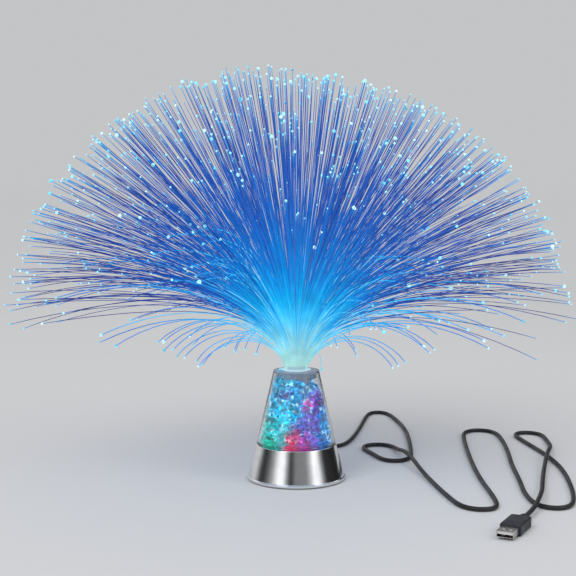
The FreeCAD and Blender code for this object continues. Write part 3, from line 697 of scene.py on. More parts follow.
@dataclass(frozen=True)
class FibreGlow:
    """A light fibre: its own light fades and turns bluer from the bundle to just short of its bright end.

    It reads the map Along, which holds the fibre's tone across and the part of its length up.
    """

    name: str
    near: Stops
    far: Stops
    strength: float = 0.92

    def make(self) -> Material:
        """Builds the material.

        Returns:
            The new material.
        """
        wiring = Wiring(self.name, Emission_Strength=self.strength, IOR=1.49, Specular_IOR_Level=0.25)
        tone, part = wiring.on_map("Along")
        light = wiring.mixed(tone, wiring.ramp(part, self.near), wiring.ramp(part, self.far))
        streaked = wiring.scaled(light, wiring.span(wiring.noise(pitch=14.0, detail=3.0), 0.8, 1.15))
        wiring.feed("Emission Color", streaked)
        wiring.feed("Base Color", wiring.mixed(0.8, streaked, (0.0, 0.004, 0.02)))
        wiring.feed("Roughness", wiring.span(wiring.noise(pitch=5.0, detail=2.0), 0.18, 0.34))
        wiring.bump(wiring.noise(pitch=0.5, detail=2.0), 0.01, 0.4)
        wiring.material.cycles.emission_sampling = "NONE"
        return wiring.material


@dataclass(frozen=True)
class PaintedGlow:
    """A lit, glossy piece that takes its light from its own painted colours: crystals, tray, fibre ends."""

    name: str
    strength: float
    body: float
    through: float
    smooth: float = 0.04
    rough: float = 0.16
    cloud: float = 2.6
    coat: float = 0.6
    # Size in millimetres of the cells of painted sparkle.
    painted_sparkle: float = 2.6

    def make(self) -> Material:
        """Builds the material.

        Returns:
            The new material.
        """
        wiring = Wiring(self.name, Emission_Strength=self.strength, IOR=1.49, Coat_Weight=self.coat,
                        Transmission_Weight=self.through, Coat_Roughness=0.04)
        paint = wiring.add("ShaderNodeAttribute", attribute_name="Glow").outputs["Color"]
        cloud = wiring.span(wiring.noise(pitch=self.cloud, detail=5.0), 0.62, 1.3)
        # Painted sparkle: cells of brighter and darker light that stand for light refracted by the crystals'
        # facets, and on the tray for light caught from them.
        painted_sparkle = wiring.span(wiring.cells(self.painted_sparkle, "Color"), 0.6, 1.35, 0.2, 0.8)
        both = wiring.add("ShaderNodeMath", operation="MULTIPLY")
        wiring.join(cloud, both.inputs[0])
        wiring.join(painted_sparkle, both.inputs[1])
        light = wiring.scaled(paint, both.outputs["Value"])
        wiring.feed("Emission Color", light)
        wiring.feed("Base Color", wiring.mixed(self.body, (0.0, 0.0, 0.01), light))
        wiring.feed("Roughness", wiring.span(wiring.noise(pitch=1.1, detail=4.0), self.smooth, self.rough))
        wiring.bump(wiring.noise(pitch=1.4, detail=3.0), 0.05, 0.5)
        wiring.material.cycles.emission_sampling = "NONE"
        return wiring.material


@dataclass(frozen=True)
class CircuitBoard:
    """Green solder mask over copper tracks."""

    name: str = "board_mask"
    dark: Colour = (0.01, 0.12, 0.035)
    light: Colour = (0.015, 0.17, 0.05)
    track: Colour = (0.04, 0.26, 0.08)

    def make(self) -> Material:
        """Builds the material.

        Returns:
            The new material.
        """
        wiring = Wiring(self.name, IOR=1.5, Coat_Weight=0.3)
        tracks = wiring.span(wiring.cells(3.2, feature="DISTANCE_TO_EDGE"), 1, 0, 0.06, 0.09)
        cloud = wiring.span(wiring.noise(pitch=4.0), 0, 1)
        mask = wiring.mixed(cloud, self.dark, self.light)
        wiring.feed("Base Color", wiring.mixed(tracks, mask, self.track))
        wiring.feed("Roughness", wiring.span(wiring.noise(pitch=1.5), 0.25, 0.42))
        wiring.bump(tracks, 0.035)
        return wiring.material


CHROME = Plating(
    "chrome_plate", bright=(0.86, 0.87, 0.89), dull=(0.74, 0.755, 0.78), smooth=0.10, rough=0.17,
)
STEEL = Plating(
    "pressed_steel", bright=(0.62, 0.61, 0.59), dull=(0.44, 0.43, 0.41), smooth=0.2, rough=0.36,
    ring_pitch=0.4, ring_depth=0.01,
)
SCREW_ZINC = Plating(
    "screw_zinc", bright=(0.52, 0.52, 0.53), dull=(0.34, 0.34, 0.35), smooth=0.25, rough=0.42,
    ring_pitch=0.3, ring_depth=0.008,
)
SPRING_PLATE = Plating(
    "spring_plate", bright=(0.72, 0.70, 0.66), dull=(0.5, 0.48, 0.44), smooth=0.2, rough=0.38,
    ring_pitch=0.4, ring_depth=0.01,
)
GOLD = Plating(
    "contact_gold", bright=(0.88, 0.62, 0.24), dull=(0.7, 0.46, 0.16), smooth=0.2, rough=0.34,
    ring_pitch=0.3, ring_depth=0.006,
)
COPPER = Plating(
    "lead_copper_wire", bright=(0.8, 0.42, 0.26), dull=(0.55, 0.27, 0.16), smooth=0.3, rough=0.45,
)
COVER_BLACK = Moulding(
    "cover_black", colour=(0.022, 0.022, 0.024), worn=(0.05, 0.05, 0.052), smooth=0.46, rough=0.62,
    grain=0.5, depth=0.05,
)
KNOB_GREY = Moulding(
    "knob_grey", colour=(0.32, 0.32, 0.33), worn=(0.42, 0.42, 0.42), smooth=0.38, rough=0.5, grain=0.3,
    depth=0.015,
)
SWITCH_BLACK = Moulding(
    "switch_black", colour=(0.03, 0.03, 0.032), worn=(0.07, 0.07, 0.07), smooth=0.35, rough=0.5,
)
LABEL_GREY = Moulding(
    "label_grey", colour=(0.5, 0.5, 0.5), worn=(0.34, 0.34, 0.34), smooth=0.5, rough=0.65, grain=0.3,
    depth=0.01,
)
FOOT_RUBBER = Moulding(
    "foot_foam", colour=(0.045, 0.045, 0.048), worn=(0.09, 0.09, 0.09), smooth=0.75, rough=0.92,
    grain=0.6, depth=0.12,
)
CORD_RUBBER = Moulding(
    "cord_sheath", colour=(0.006, 0.006, 0.007), worn=(0.02, 0.02, 0.022), smooth=0.42, rough=0.58,
    grain=0.5, depth=0.02, coat=0.0, mottle=16.0,
)
PLUG_BLACK = Moulding(
    "plug_overmould", colour=(0.006, 0.007, 0.012), worn=(0.02, 0.022, 0.034), smooth=0.4, rough=0.55,
    grain=0.4, depth=0.025,
)
TONGUE_WHITE = Moulding(
    "tongue_plastic", colour=(0.7, 0.7, 0.68), worn=(0.55, 0.55, 0.52), smooth=0.35, rough=0.5,
    grain=0.3, depth=0.01,
)
CLEAR = ClearPlastic("cone_acrylic", tint=(0.94, 0.97, 0.985))
CLEAR_TUBE = ClearPlastic("tube_acrylic", tint=(0.9, 0.94, 0.97), smooth=0.05, rough=0.14)
SMOKE = ClearPlastic(
    "smoke_acrylic", tint=(0.56, 0.61, 0.71), smooth=0.2, rough=0.3, through=0.82, flow_depth=0.03,
)
COLLAR_MILK = Frosting(
    "collar_milk", colour=(0.52, 0.62, 0.66), glow=(0.62, 0.80, 0.88), strength=0.26, dim=0.8,
)
BUNDLE_MILK = Frosting(
    "bundle_milk", colour=(0.2, 0.3, 0.34), glow=(0.40, 0.60, 0.68), strength=0.42, dim=0.85, pitch=3.0,
)
LED_MILK = Frosting("led_lens", colour=(0.85, 0.88, 0.8), glow=(0.7, 0.85, 1.0), strength=1.2)
CRYSTAL = PaintedGlow(
    "crystal_acrylic", strength=0.7, body=0.6, through=0.16, smooth=0.03, rough=0.12, cloud=2.2,
    coat=0.8,
)
TRAY_MILK = PaintedGlow(
    "diffuser_milk", strength=0.55, body=0.5, through=0.0, smooth=0.35, rough=0.55, cloud=5.0, coat=0.0,
)
FIBRE_END = PaintedGlow(
    "fibre_end", strength=0.95, body=0.35, through=0.0, smooth=0.1, rough=0.25, cloud=6.0, coat=0.3,
)
FIBRE_BLUE = FibreGlow(
    "fibre_blue_light",
    near=(
        (0.0, (0.46, 0.74, 0.66)), (0.07, (0.34, 0.68, 0.72)), (0.14, (0.22, 0.64, 0.82)),
        (0.20, (0.08, 0.58, 0.90)), (0.26, (0.008, 0.50, 0.88)), (0.36, (0.006, 0.33, 0.80)),
        (0.52, (0.006, 0.18, 0.64)), (0.75, (0.010, 0.10, 0.50)), (0.93, (0.012, 0.12, 0.54)),
        (1.0, (0.04, 0.5, 0.95)),
    ),
    far=(
        (0.0, (0.42, 0.70, 0.66)), (0.07, (0.28, 0.62, 0.72)), (0.14, (0.15, 0.56, 0.80)),
        (0.20, (0.03, 0.46, 0.82)), (0.26, (0.005, 0.30, 0.72)), (0.36, (0.005, 0.11, 0.46)),
        (0.52, (0.008, 0.045, 0.30)), (0.75, (0.014, 0.022, 0.20)), (0.93, (0.018, 0.018, 0.18)),
        (1.0, (0.02, 0.22, 0.65)),
    ),
)
FIBRE_VIOLET = FibreGlow(
    "fibre_violet_light",
    near=(
        (0.0, (0.40, 0.72, 0.62)), (0.07, (0.30, 0.68, 0.74)), (0.14, (0.16, 0.62, 0.84)),
        (0.22, (0.02, 0.46, 0.86)), (0.32, (0.005, 0.22, 0.66)), (0.46, (0.005, 0.10, 0.46)),
        (0.7, (0.006, 0.05, 0.34)), (0.93, (0.008, 0.045, 0.30)), (1.0, (0.04, 0.34, 0.85)),
    ),
    far=(
        (0.0, (0.36, 0.68, 0.62)), (0.07, (0.22, 0.60, 0.72)), (0.14, (0.09, 0.50, 0.80)),
        (0.22, (0.008, 0.28, 0.70)), (0.32, (0.006, 0.10, 0.44)), (0.46, (0.009, 0.045, 0.30)),
        (0.7, (0.014, 0.022, 0.20)), (0.93, (0.016, 0.016, 0.17)), (1.0, (0.04, 0.24, 0.65)),
    ),
)
FIBRE_ARC = FibreGlow(
    "fibre_arc_light",
    near=(
        (0.0, (0.42, 0.74, 0.66)), (0.15, (0.26, 0.68, 0.84)), (0.4, (0.08, 0.58, 0.92)),
        (0.7, (0.02, 0.40, 0.88)), (0.93, (0.01, 0.24, 0.78)), (1.0, (0.05, 0.4, 0.9)),
    ),
    far=(
        (0.0, (0.38, 0.70, 0.64)), (0.15, (0.16, 0.60, 0.82)), (0.4, (0.03, 0.44, 0.86)),
        (0.7, (0.008, 0.22, 0.70)), (0.93, (0.010, 0.10, 0.52)), (1.0, (0.04, 0.3, 0.75)),
    ),
)


# ---------------------------------------------------------------- studio


@dataclass(frozen=True)
class SoftPanel:
    """A square lamp that hangs beside the camera: its place and side in metres and its power in watts."""

    name: str
    place: Place
    side: float
    power: float


@dataclass
class Studio:
    """The camera, the pale floor, the soft lights and the wall of panels that only polished surfaces see.

    Places and lengths are in metres here, angles in degrees. The wall's panels are bearings from the camera's
    side with the tone that each has.
    """

    camera_place: Place = (-0.00668, -1.0, 0.2493)
    pitch: float = 5.38
    field_of_view: float = 25.93
    picture_width: int = 576
    floor_tone: Colour = (0.60, 0.605, 0.615)
    floor_reach: float = 14.0
    backdrop_tone: Colour = (0.549, 0.555, 0.567)
    room_light: float = 0.62
    sun_power: float = 1.15
    sun_spread: float = 55.0
    sun_tilt: Pair = (34.0, -18.0)
    panels: tuple[SoftPanel, ...] = (
        SoftPanel("panel_left", (-0.9, -1.1, 1.3), 0.7, 5.0),
        SoftPanel("panel_right", (1.1, -0.6, 1.0), 0.6, 3.0),
    )
    aim_height: float = 0.15
    wall_radius: float = 1.8
    wall_foot: float = 0.01
    wall_height: float = 1.5
    wall_turns: int = 180
    wall_top_tone: float = 1.15
    wall_fade: Pair = (0.66, 0.74)
    panel_tones: tuple[Pair, ...] = (
        (-180, 0.5), (-160, 0.6), (-118, 0.6), (-99, 0.06), (-88, 0.03), (-76, 0.12), (-62, 0.38),
        (-52, 0.85), (-44, 1.2), (-33, 1.15), (-25, 0.4), (-17, 0.05), (-10, 0.06), (-2, 0.22), (26, 0.25),
        (37, 0.6), (45, 1.25), (57, 1.1), (68, 0.3), (78, 0.03), (120, 0.01), (140, 0.02), (158, 0.06),
        (171, 0.4), (180, 0.5),
    )

    def set_camera(self) -> None:
        """Places the camera level with the spray, looking along +Y and a little down."""
        data = bpy.data.cameras.new("camera")
        data.sensor_width = 36.0
        data.lens = data.sensor_width / 2 / math.tan(math.radians(self.field_of_view / 2))
        data.clip_start, data.clip_end = 0.05, 60.0
        camera = placed("camera", data)
        camera.location = self.camera_place
        camera.rotation_euler = (math.radians(90 - self.pitch), 0, 0)
        bpy.context.scene.camera = camera
        bpy.context.scene.view_settings.view_transform = "Standard"

    def shown_at(self, across: Array, down: Array, front: Array) -> Array:
        """Gives the places that pixels of the camera's picture show, on planes in front of the lamp's axis.

        The line of sight through the pixel (u, v) is forward + (u - c) / f right + (c - v) / f up, where c is
        half the picture's width and f is c / tan(half the field of view).

        Args:
            across: Each pixel's column.
            down: Each pixel's row.
            front: How far in front of the axis each plane stands, in millimetres.

        Returns:
            One place in millimetres for each pixel.
        """
        middle = self.picture_width / 2
        focus = middle / math.tan(math.radians(self.field_of_view / 2))
        dip = math.radians(self.pitch)
        right, up = (across - middle) / focus, (middle - down) / focus
        ahead, above = math.cos(dip) + up * math.sin(dip), up * math.cos(dip) - math.sin(dip)
        sight = np.stack([right, ahead, above], -1)
        eye = np.array(self.camera_place) / METRES
        return eye + sight * ((-front - eye[1]) / sight[:, 1])[:, None]

    def lay_floor(self) -> None:
        """Lays a wide pale floor."""
        mesh = bpy.data.meshes.new("floor")
        far = self.floor_reach
        mesh.from_pydata([(-far, -far, 0), (far, -far, 0), (far, far, 0), (-far, far, 0)], [], [(0, 1, 2, 3)])
        wiring = Wiring("pale_floor", Base_Color=self.floor_tone, Roughness=0.7, Specular_IOR_Level=0.15)
        mesh.materials.append(wiring.material)
        placed("floor", mesh)

    def hang_lights(self) -> None:
        """Hangs one broad soft sun and two large soft panels."""
        sun = bpy.data.lights.new("soft_sun", "SUN")
        sun.energy, sun.angle = self.sun_power, math.radians(self.sun_spread)
        item = placed("soft_sun", sun)
        item.rotation_euler = (math.radians(self.sun_tilt[0]), math.radians(self.sun_tilt[1]), 0)
        item.visible_glossy = False
        for panel in self.panels:
            lamp = bpy.data.lights.new(panel.name, "AREA")
            lamp.shape, lamp.size, lamp.energy = "SQUARE", panel.side, panel.power
            item = placed(panel.name, lamp)
            item.location = panel.place
            aim = Vector((0, 0, self.aim_height)) - Vector(panel.place)
            item.rotation_euler = aim.to_track_quat("-Z", "Y").to_euler()

    def raise_wall(self) -> None:
        """Stands a round wall of bright and dark panels for the polished base to reflect.

        The wall goes once round the lamp: x = r sin b, y = -r cos b. Its tone is looked up by the bearing b
        from the camera's side, and fades to one bright tone near its top.
        """
        turns = self.wall_turns
        bearing = np.linspace(-math.pi, math.pi, turns + 1)
        x, y = self.wall_radius * np.sin(bearing), -self.wall_radius * np.cos(bearing)
        edges = (self.wall_foot, self.wall_height)
        points = np.concatenate([np.stack([x, y, np.full_like(x, z)], -1) for z in edges])
        mesh = bpy.data.meshes.new("panel_wall")
        faces = grid_faces(2, turns + 1, False, False)
        mesh.from_pydata(points.tolist(), [], faces.tolist())
        corner = faces.ravel()
        share = np.stack([corner % (turns + 1) / turns, corner // (turns + 1)], -1)
        mesh.uv_layers.new(name="Bearing").data.foreach_set("uv", share.astype(np.float32).ravel())
        wiring = Wiring("panels")
        across, up = wiring.on_map("Bearing")
        stops = [((angle + 180) / 360, (tone, tone, tone)) for angle, tone in self.panel_tones]
        top = wiring.span(up, 0.0, 1.0, *self.wall_fade)
        tones = wiring.mixed(top, wiring.ramp(across, stops), (self.wall_top_tone,) * 3)
        glow = wiring.add("ShaderNodeEmission")
        wiring.join(tones, glow.inputs["Color"])
        output = next(node for node in wiring.tree.nodes if node.type == "OUTPUT_MATERIAL")
        wiring.join(glow.outputs["Emission"], output.inputs["Surface"])
        mesh.materials.append(wiring.material)
        wall = placed("panel_wall", mesh)
        wall.visible_camera = wall.visible_diffuse = wall.visible_shadow = False
        wall.visible_transmission = wall.visible_volume_scatter = False

    def light_world(self) -> None:
        """Lights the lamp evenly, and shows the backdrop's tone to the camera and to glass and metal."""
        world = bpy.data.worlds.new("soft_room")
        bpy.context.scene.world = world
        world.use_nodes = True
        tree = world.node_tree
        tree.nodes.clear()
        path = tree.nodes.new("ShaderNodeLightPath")
        seen = path.outputs["Is Camera Ray"]
        for title in ("Is Glossy Ray", "Is Transmission Ray"):
            most = tree.nodes.new("ShaderNodeMath")
            most.operation = "MAXIMUM"
            tree.links.new(seen, most.inputs[0])
            tree.links.new(path.outputs[title], most.inputs[1])
            seen = most.outputs["Value"]
        shades = []
        for tone, strength in (((1.0, 1.0, 1.0), self.room_light), (self.backdrop_tone, 1.0)):
            shade = tree.nodes.new("ShaderNodeBackground")
            shade.inputs["Color"].default_value = (*tone, 1.0)
            shade.inputs["Strength"].default_value = strength
            shades.append(shade)
        mix = tree.nodes.new("ShaderNodeMixShader")
        tree.links.new(seen, mix.inputs["Fac"])
        tree.links.new(shades[0].outputs["Background"], mix.inputs[1])
        tree.links.new(shades[1].outputs["Background"], mix.inputs[2])
        output = tree.nodes.new("ShaderNodeOutputWorld")
        tree.links.new(mix.outputs["Shader"], output.inputs["Surface"])

    def build(self) -> None:
        """Sets up the whole studio."""
        self.set_camera()
        self.lay_floor()
        self.hang_lights()
        self.raise_wall()
        self.light_world()


# ---------------------------------------------------------------- cord and plug

ON_FLOOR = 1.95
ON_HUMP = 6.8

# Control points of the cord's route, from the base to the plug. One without a height lies on the floor.
CORD_ROUTE = (
    (0, 49.76, 8.5), (0, 64, 8.5), (2, 80, 5.4), (11, 94, 2.7), (27, 102), (43, 112), (52, 136),
    (62, 184), (70.5, 236), (76, 261), (85.5, 268), (95, 260.5), (100, 236), (106, 186), (105, 132),
    (102, 84), (99, 60), (88, 50), (75, 54), (67.5, 78), (59.5, 101), (65, 113), (77, 116), (87, 109),
    (91, 89, 3.2), (94.5, 68, ON_HUMP), (98.5, 42, ON_HUMP), (103, 12, 3.2), (109, -28), (115, -66),
    (121, -95), (134, -104.5), (148, -99), (150, -70), (148, -18), (149, 34), (152, 86), (156, 140),
    (160, 170), (175, 180), (190, 170), (191, 138), (188, 90), (182, 36), (179, -16), (175, -58),
    (177, -90), (189, -101), (203, -95), (211, -68), (217, -28), (221, 14), (221, 52), (216, 92),
    (209, 131), (205.5, 157), (213, 167), (224, 166.5), (232, 157), (231.5, 134), (229, 102, 3.2),
    (221, 74, ON_HUMP), (213, 46, ON_HUMP), (203, 8, 3.2), (194, -32, 3.4), (187, -66, ON_HUMP),
    (177, -99, ON_HUMP), (169.5, -115, 4.2), (161.5, -131, 4.2),
)


@dataclass
class PowerCord:
    """The loose cord and the strain relief that holds it in the base."""

    diameter: float = 3.5
    length: float = 1.985
    height: float = 8.5
    flange_start: float = 32.67
    neck_start: float = 34.17
    neck_end: float = 39.26
    tail_start: float = 40.76
    tail_end: float = 49.76
    flange_radius: float = 4.6
    neck_radius: float = 3.4
    end_radius: float = 2.35
    groove_count: int = 4
    groove_depth: float = 0.45
    grooved_part: float = 0.97
    bore_radius: float = 1.8
    bore_depth: float = 3.0

    def lay(self) -> Item:
        """Lays the cord as one smooth spline through the control points of its route.

        Returns:
            The cord's curve object.
        """
        curve = bpy.data.curves.new("Cord", "CURVE")
        curve.dimensions = "3D"
        curve.bevel_depth = self.diameter / 2 * METRES
        curve.bevel_resolution = 4
        curve.resolution_u = 10
        curve.use_fill_caps = True
        spline = curve.splines.new("NURBS")
        spline.points.add(len(CORD_ROUTE) - 1)
        places = np.array([(*point, ON_FLOOR)[:3] for point in CORD_ROUTE])
        route = np.column_stack([places * METRES, np.ones(len(places))])
        spline.points.foreach_set("co", route.astype(np.float32).ravel())
        spline.order_u = 3
        spline.use_endpoint_u = True
        curve.materials.append(CORD_RUBBER.make())
        cord = placed("Cord", curve)
        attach(cord, Body.BASE.value)
        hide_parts("usb_cord")
        LOG.info("Cord: %d control points", len(CORD_ROUTE))
        return cord

    def relieve(self, finish: Material) -> Item:
        """Turns the strain relief: a neck between two flanges, then a tapering tail with grooves round it.

        The tail's radius falls evenly along it, and each groove takes its depth times sin^4 off it.

        Args:
            finish: The rubber.

        Returns:
            The piece.
        """
        along = np.linspace(0, 1, 61)
        wave = np.sin(math.pi * (self.groove_count * along)) ** 4
        groove = self.groove_depth * wave * (along < self.grooved_part)
        waist = self.neck_radius + (self.end_radius - self.neck_radius) * along - groove
        tail = np.column_stack([waist, self.tail_start + (self.tail_end - self.tail_start) * along])
        wide, narrow = self.flange_radius, self.neck_radius
        corners = [(0, self.flange_start), (wide, self.flange_start), (wide, self.neck_start),
                   (narrow, self.neck_start), (narrow, self.neck_end), (wide, self.neck_end),
                   (wide, self.tail_start), (narrow, self.tail_start)]
        neck = softened(corners, 0.4, 3, False)
        bottom = self.tail_end - self.bore_depth
        bore = [(self.bore_radius, self.tail_end), (self.bore_radius, bottom), (0, bottom)]
        outline = np.concatenate([neck[:-1], tail, bore])
        surface = lathed(outline, 48, False).moved(turned_by("X", -90, (0, 0, self.height)))
        return write_piece("Strain_relief", surface, Body.BASE, finish, ("strain_relief",), 40)


@dataclass
class UsbPlug:
    """The plug on the cord's far end, laid flat on the floor. Its own axis runs along +X from the cord."""

    place: Place = CORD_ROUTE[-1]
    heading: Pair = (-0.44721, -0.89443)
    boot_length: float = 9.0
    boot_overlap: float = 0.6
    boot_start: float = 2.2
    boot_widens: float = 2.2
    boot_thickens: float = 0.8
    boot_flare: float = 1.3
    boot_rib: float = 0.5
    boot_ribs: float = 3.5
    boot_ribbed_part: float = 0.86
    boot_squareness: float = 2.6
    grip_length: float = 27.0
    grip_width: float = 15.4
    grip_height: float = 8.4
    grip_squareness: float = 7.0
    rear_rounding: Pair = (2.0, 1.5)
    front_rounding: Pair = (1.2, 0.9)
    groove_start: float = 6.0
    groove_end: float = 18.0
    groove_pitch: float = 2.4
    groove_depth: float = 0.22

    def matrix(self) -> Array:
        """Gives the matrix that lays the plug in its place."""
        turn = math.degrees(math.atan2(self.heading[1], self.heading[0]))
        return turned_by("Z", turn, self.place)

    def tapered(self, start: float, half_width: Array, half_height: Array, along: Array,
                square: float) -> Surface:
        """Carries a rounded rectangle along +X and closes both ends.

        Args:
            start: Where it begins.
            half_width: Half its width at each step.
            half_height: Half its height at each step.
            along: How far each step lies from the start.
            square: How square its corners are.

        Returns:
            The surface in its place on the floor.
        """
        path = np.column_stack([start + along, 0 * along, 0 * along])[None]
        section = pebble_section(half_width, half_height, square, 56)
        tube = swept(path, np.array([[0.0, 1.0, 0.0]]), section)
        return tube.moved(self.matrix())

    def boot(self, finish: Material) -> Item:
        """Makes the boot: it widens towards the grip, and ribs stand their height times sin^2 proud of it.

        Args:
            finish: The black plastic.

        Returns:
            The piece.
        """
        along = np.linspace(0, self.boot_length + self.boot_overlap, 49)
        part = along / along[-1]
        wave = np.sin(math.pi * self.boot_ribs * part) ** 2
        rib = self.boot_rib * wave * (part < self.boot_ribbed_part)
        widths = self.boot_start + self.boot_widens * part ** self.boot_flare + rib
        heights = self.boot_start + self.boot_thickens * part + rib
        surface = self.tapered(0.0, widths, heights, along, self.boot_squareness)
        return write_piece("Plug_boot", surface, Body.BASE, finish, ("plug_boot",), 50)

    def grip(self, finish: Material) -> Item:
        """Makes the grip: its ends draw in along a quarter circle, and finger grooves cross its sides.

        Each rounding holds how much of the length it takes and how far it draws the side in.

        Args:
            finish: The black plastic.

        Returns:
            The piece.
        """
        (rear, rear_inset), (front, front_inset) = self.rear_rounding, self.front_rounding
        straight_end = self.grip_length - front
        along = np.concatenate([np.linspace(0, rear, 9)[:-1], np.linspace(rear, straight_end, 75)[:-1],
                                np.linspace(straight_end, self.grip_length, 7)])
        first = np.clip(1 - along / rear, 0, 1)
        last = np.clip(1 - (self.grip_length - along) / front, 0, 1)
        inset = rear_inset * (1 - np.sqrt(1 - first ** 2)) + front_inset * (1 - np.sqrt(1 - last ** 2))
        grooved = (along > self.groove_start) & (along < self.groove_end)
        wave = np.sin(math.pi * (along - self.groove_start) / self.groove_pitch) ** 2
        groove = self.groove_depth * wave * grooved
        surface = self.tapered(self.boot_length, self.grip_width / 2 - inset - groove,
                               self.grip_height / 2 - inset, along, self.grip_squareness)
        return write_piece("Plug_grip", surface, Body.BASE, finish, ("plug_grip",), 50)

    def build(self) -> list[Item]:
        """Makes and dresses the plug.

        Returns:
            Every piece of the plug.
        """
        black = PLUG_BLACK.make()
        pieces = [self.boot(black), self.grip(black)]
        dress("plug_shell", STEEL.make())
        dress("plug_tongue", TONGUE_WHITE.make())
        dress("plug_contacts", GOLD.make())
        return pieces + [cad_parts[node] for node in ("plug_shell", "plug_tongue", "plug_contacts")]


def build_cord() -> None:
    power = PowerCord()
    cord = power.lay()
    relief = power.relieve(CORD_RUBBER.make())
    plug = UsbPlug().build()


# ---------------------------------------------------------------- base


@dataclass
class BaseUnit:
    """The plated cone base with its foot, cover, battery door, switch, boards and springs."""

    rim_radius: float = 40.0
    cone_foot_radius: float = 39.2
    top_radius: float = 32.3
    lift: float = 0.8
    joint: float = 28.8
    wall: float = 1.8
    bead_top: float = 2.95
    bead_joint: float = 3.15
    turns: int = 192
    foot_inner: float = 32.6
    foot_outer: float = 36.0
    foot_height: float = 1.8
    screw_ring: float = 30.25
    screw_radius: float = 2.0
    screw_height: float = 1.15
    screw_doming: float = 0.55
    screw_bearings: tuple[int, ...] = (30, 150, 270)
    slot_half_width: float = 0.36
    slot_reach: float = 1.3
    slot_depth: float = 0.7
    cover_face: float = 1.8
    door_ribs: int = 5
    first_rib: float = -20.2
    rib_spacing: float = 1.5
    rib_reach: float = 5.5
    rib_narrowing: float = 0.6
    widest_rib: float = 1.5
    rib_lift: float = 0.12
    rib_radius: float = 0.42
    switch_distance: float = 26.5
    knob_middle: float = -2.0
    knob_face: float = 1.02
    knob_rib_reach: float = 1.25
    knob_rib_radius: float = 0.24
    label_size: float = 2.6
    label_height: float = 0.1
    label_sink: float = 0.06
    label_inset: float = 0.4
    off_place: float = -7.2
    on_place: float = 6.6
    spring_spacing: float = 11.0
    spring_height: float = 10.2
    spring_seat: float = -24.5
    spring_radius: float = 3.1
    spring_turns: float = 3.25
    spring_taper: float = 0.42
    spring_pitch: float = 0.9
    spring_foot: float = 0.5
    spring_wire: float = 0.28

    def shell(self) -> None:
        """Turns the plated cone: a rolled bead at its foot, a straight side and a rounded lip at its top."""
        inner = self.cone_foot_radius - self.wall
        corners = [(inner, self.lift), (self.rim_radius, self.lift), (self.rim_radius, self.bead_top),
                   (self.cone_foot_radius - 0.1, self.bead_joint), (self.top_radius, self.joint),
                   (self.top_radius - self.wall, self.joint), (inner, 3.2)]
        outline = softened(corners, [0.3, 0.95, 0.95, 0.3, 0.45, 0.3, 0.4], 8)
        write_piece("Base_shell", lathed(outline, self.turns), Body.BASE, CHROME.make(),
                    ("base_shell",), 50)

    def foot(self) -> None:
        """Turns the soft ring foot with rounded edges."""
        inner, outer, top = self.foot_inner, self.foot_outer, self.foot_height
        outline = softened([(inner, 0.0), (outer, 0.0), (outer, top), (inner, top)], 0.55, 4)
        write_piece("Foot_ring", lathed(outline, 128), Body.BASE, FOOT_RUBBER.make(),
                    ("foot_ring",), 60)

    def screw(self) -> Surface:
        """Gives a pan head seen from below, with a cross cut in it.

        Its depth at radius r and turn t is a dome that falls with r^3, less a cross-shaped pit where
        r |sin t| or r |cos t| is under half the cut's width, out to most of the head.

        Returns:
            The head at the origin, its face down.
        """
        full, sides = self.screw_radius, 64
        radius = np.linspace(0, full, 17)[:, None]
        turn = 2 * math.pi * np.arange(sides)[None] / sides
        dome = self.screw_height - self.screw_doming * (radius / full) ** 3
        arm = np.minimum(np.abs(radius * np.sin(turn)), np.abs(radius * np.cos(turn)))
        inside_arm = np.clip((self.slot_half_width - arm) / 0.1, 0, 1)
        pit = inside_arm * np.clip((self.slot_reach - radius) / 0.15, 0, 1)
        height = -(dome - self.slot_depth * pit)
        top, skirt = round_points(radius, turn, height), round_points(full, turn, 0.0)
        back = np.zeros_like(skirt)
        points = np.concatenate([top, skirt, back])
        return Surface(points.reshape(-1, 3), [grid_faces(len(points), sides, False, True)])

    def screws(self) -> None:
        """Sets a screw head on the cover under each of the three bosses."""
        heads = []
        for angle in self.screw_bearings:
            x, y = (self.screw_ring * part(math.radians(angle)) for part in (math.cos, math.sin))
            heads.append(self.screw().moved(turned_by("Z", angle + 30, (x, y, self.cover_face))))
        write_piece("Cover_screws", Surface.joined(heads), Body.BASE, SCREW_ZINC.make(),
                    (), 30)

    def ribs(self) -> None:
        """Lays low ribs across the door by its finger notch, so that a thumb can push it."""
        number = np.arange(self.door_ribs)
        offsets = self.first_rib + self.rib_spacing * number
        half = self.rib_reach - self.rib_narrowing * np.abs(number - self.widest_rib)
        along = np.linspace(-1, 1, 15)
        path = np.stack([half[:, None] * along, offsets[:, None] + 0 * along,
                         self.cover_face + self.rib_lift + 0 * offsets[:, None] * along], -1)
        size = np.sqrt(np.clip(1 - along ** 8, 0.04, 1))
        section = disc_section(self.rib_radius, 10)[None] * size[:, None, None]
        surface = swept(path, np.tile([[0.0, 0.0, 1.0]], (self.door_ribs, 1)), section)
        write_piece("Door_ribs", surface, Body.DOOR, COVER_BLACK.make(), (), 60)

    def knob_ribs(self) -> None:
        """Lays three small ribs across the switch knob."""
        offsets = self.knob_middle + np.array([-1.0, 0.0, 1.0])
        along = np.linspace(-1, 1, 9)
        path = np.stack([self.switch_distance + self.knob_rib_reach * along + 0 * offsets[:, None],
                         offsets[:, None] + 0 * along, self.knob_face + 0 * offsets[:, None] * along], -1)
        upwards = np.tile([[0.0, 0.0, 1.0]], (len(offsets), 1))
        surface = swept(path, upwards, disc_section(self.knob_rib_radius, 8))
        write_piece("Knob_ribs", surface, Body.KNOB, KNOB_GREY.make(), (), 60)

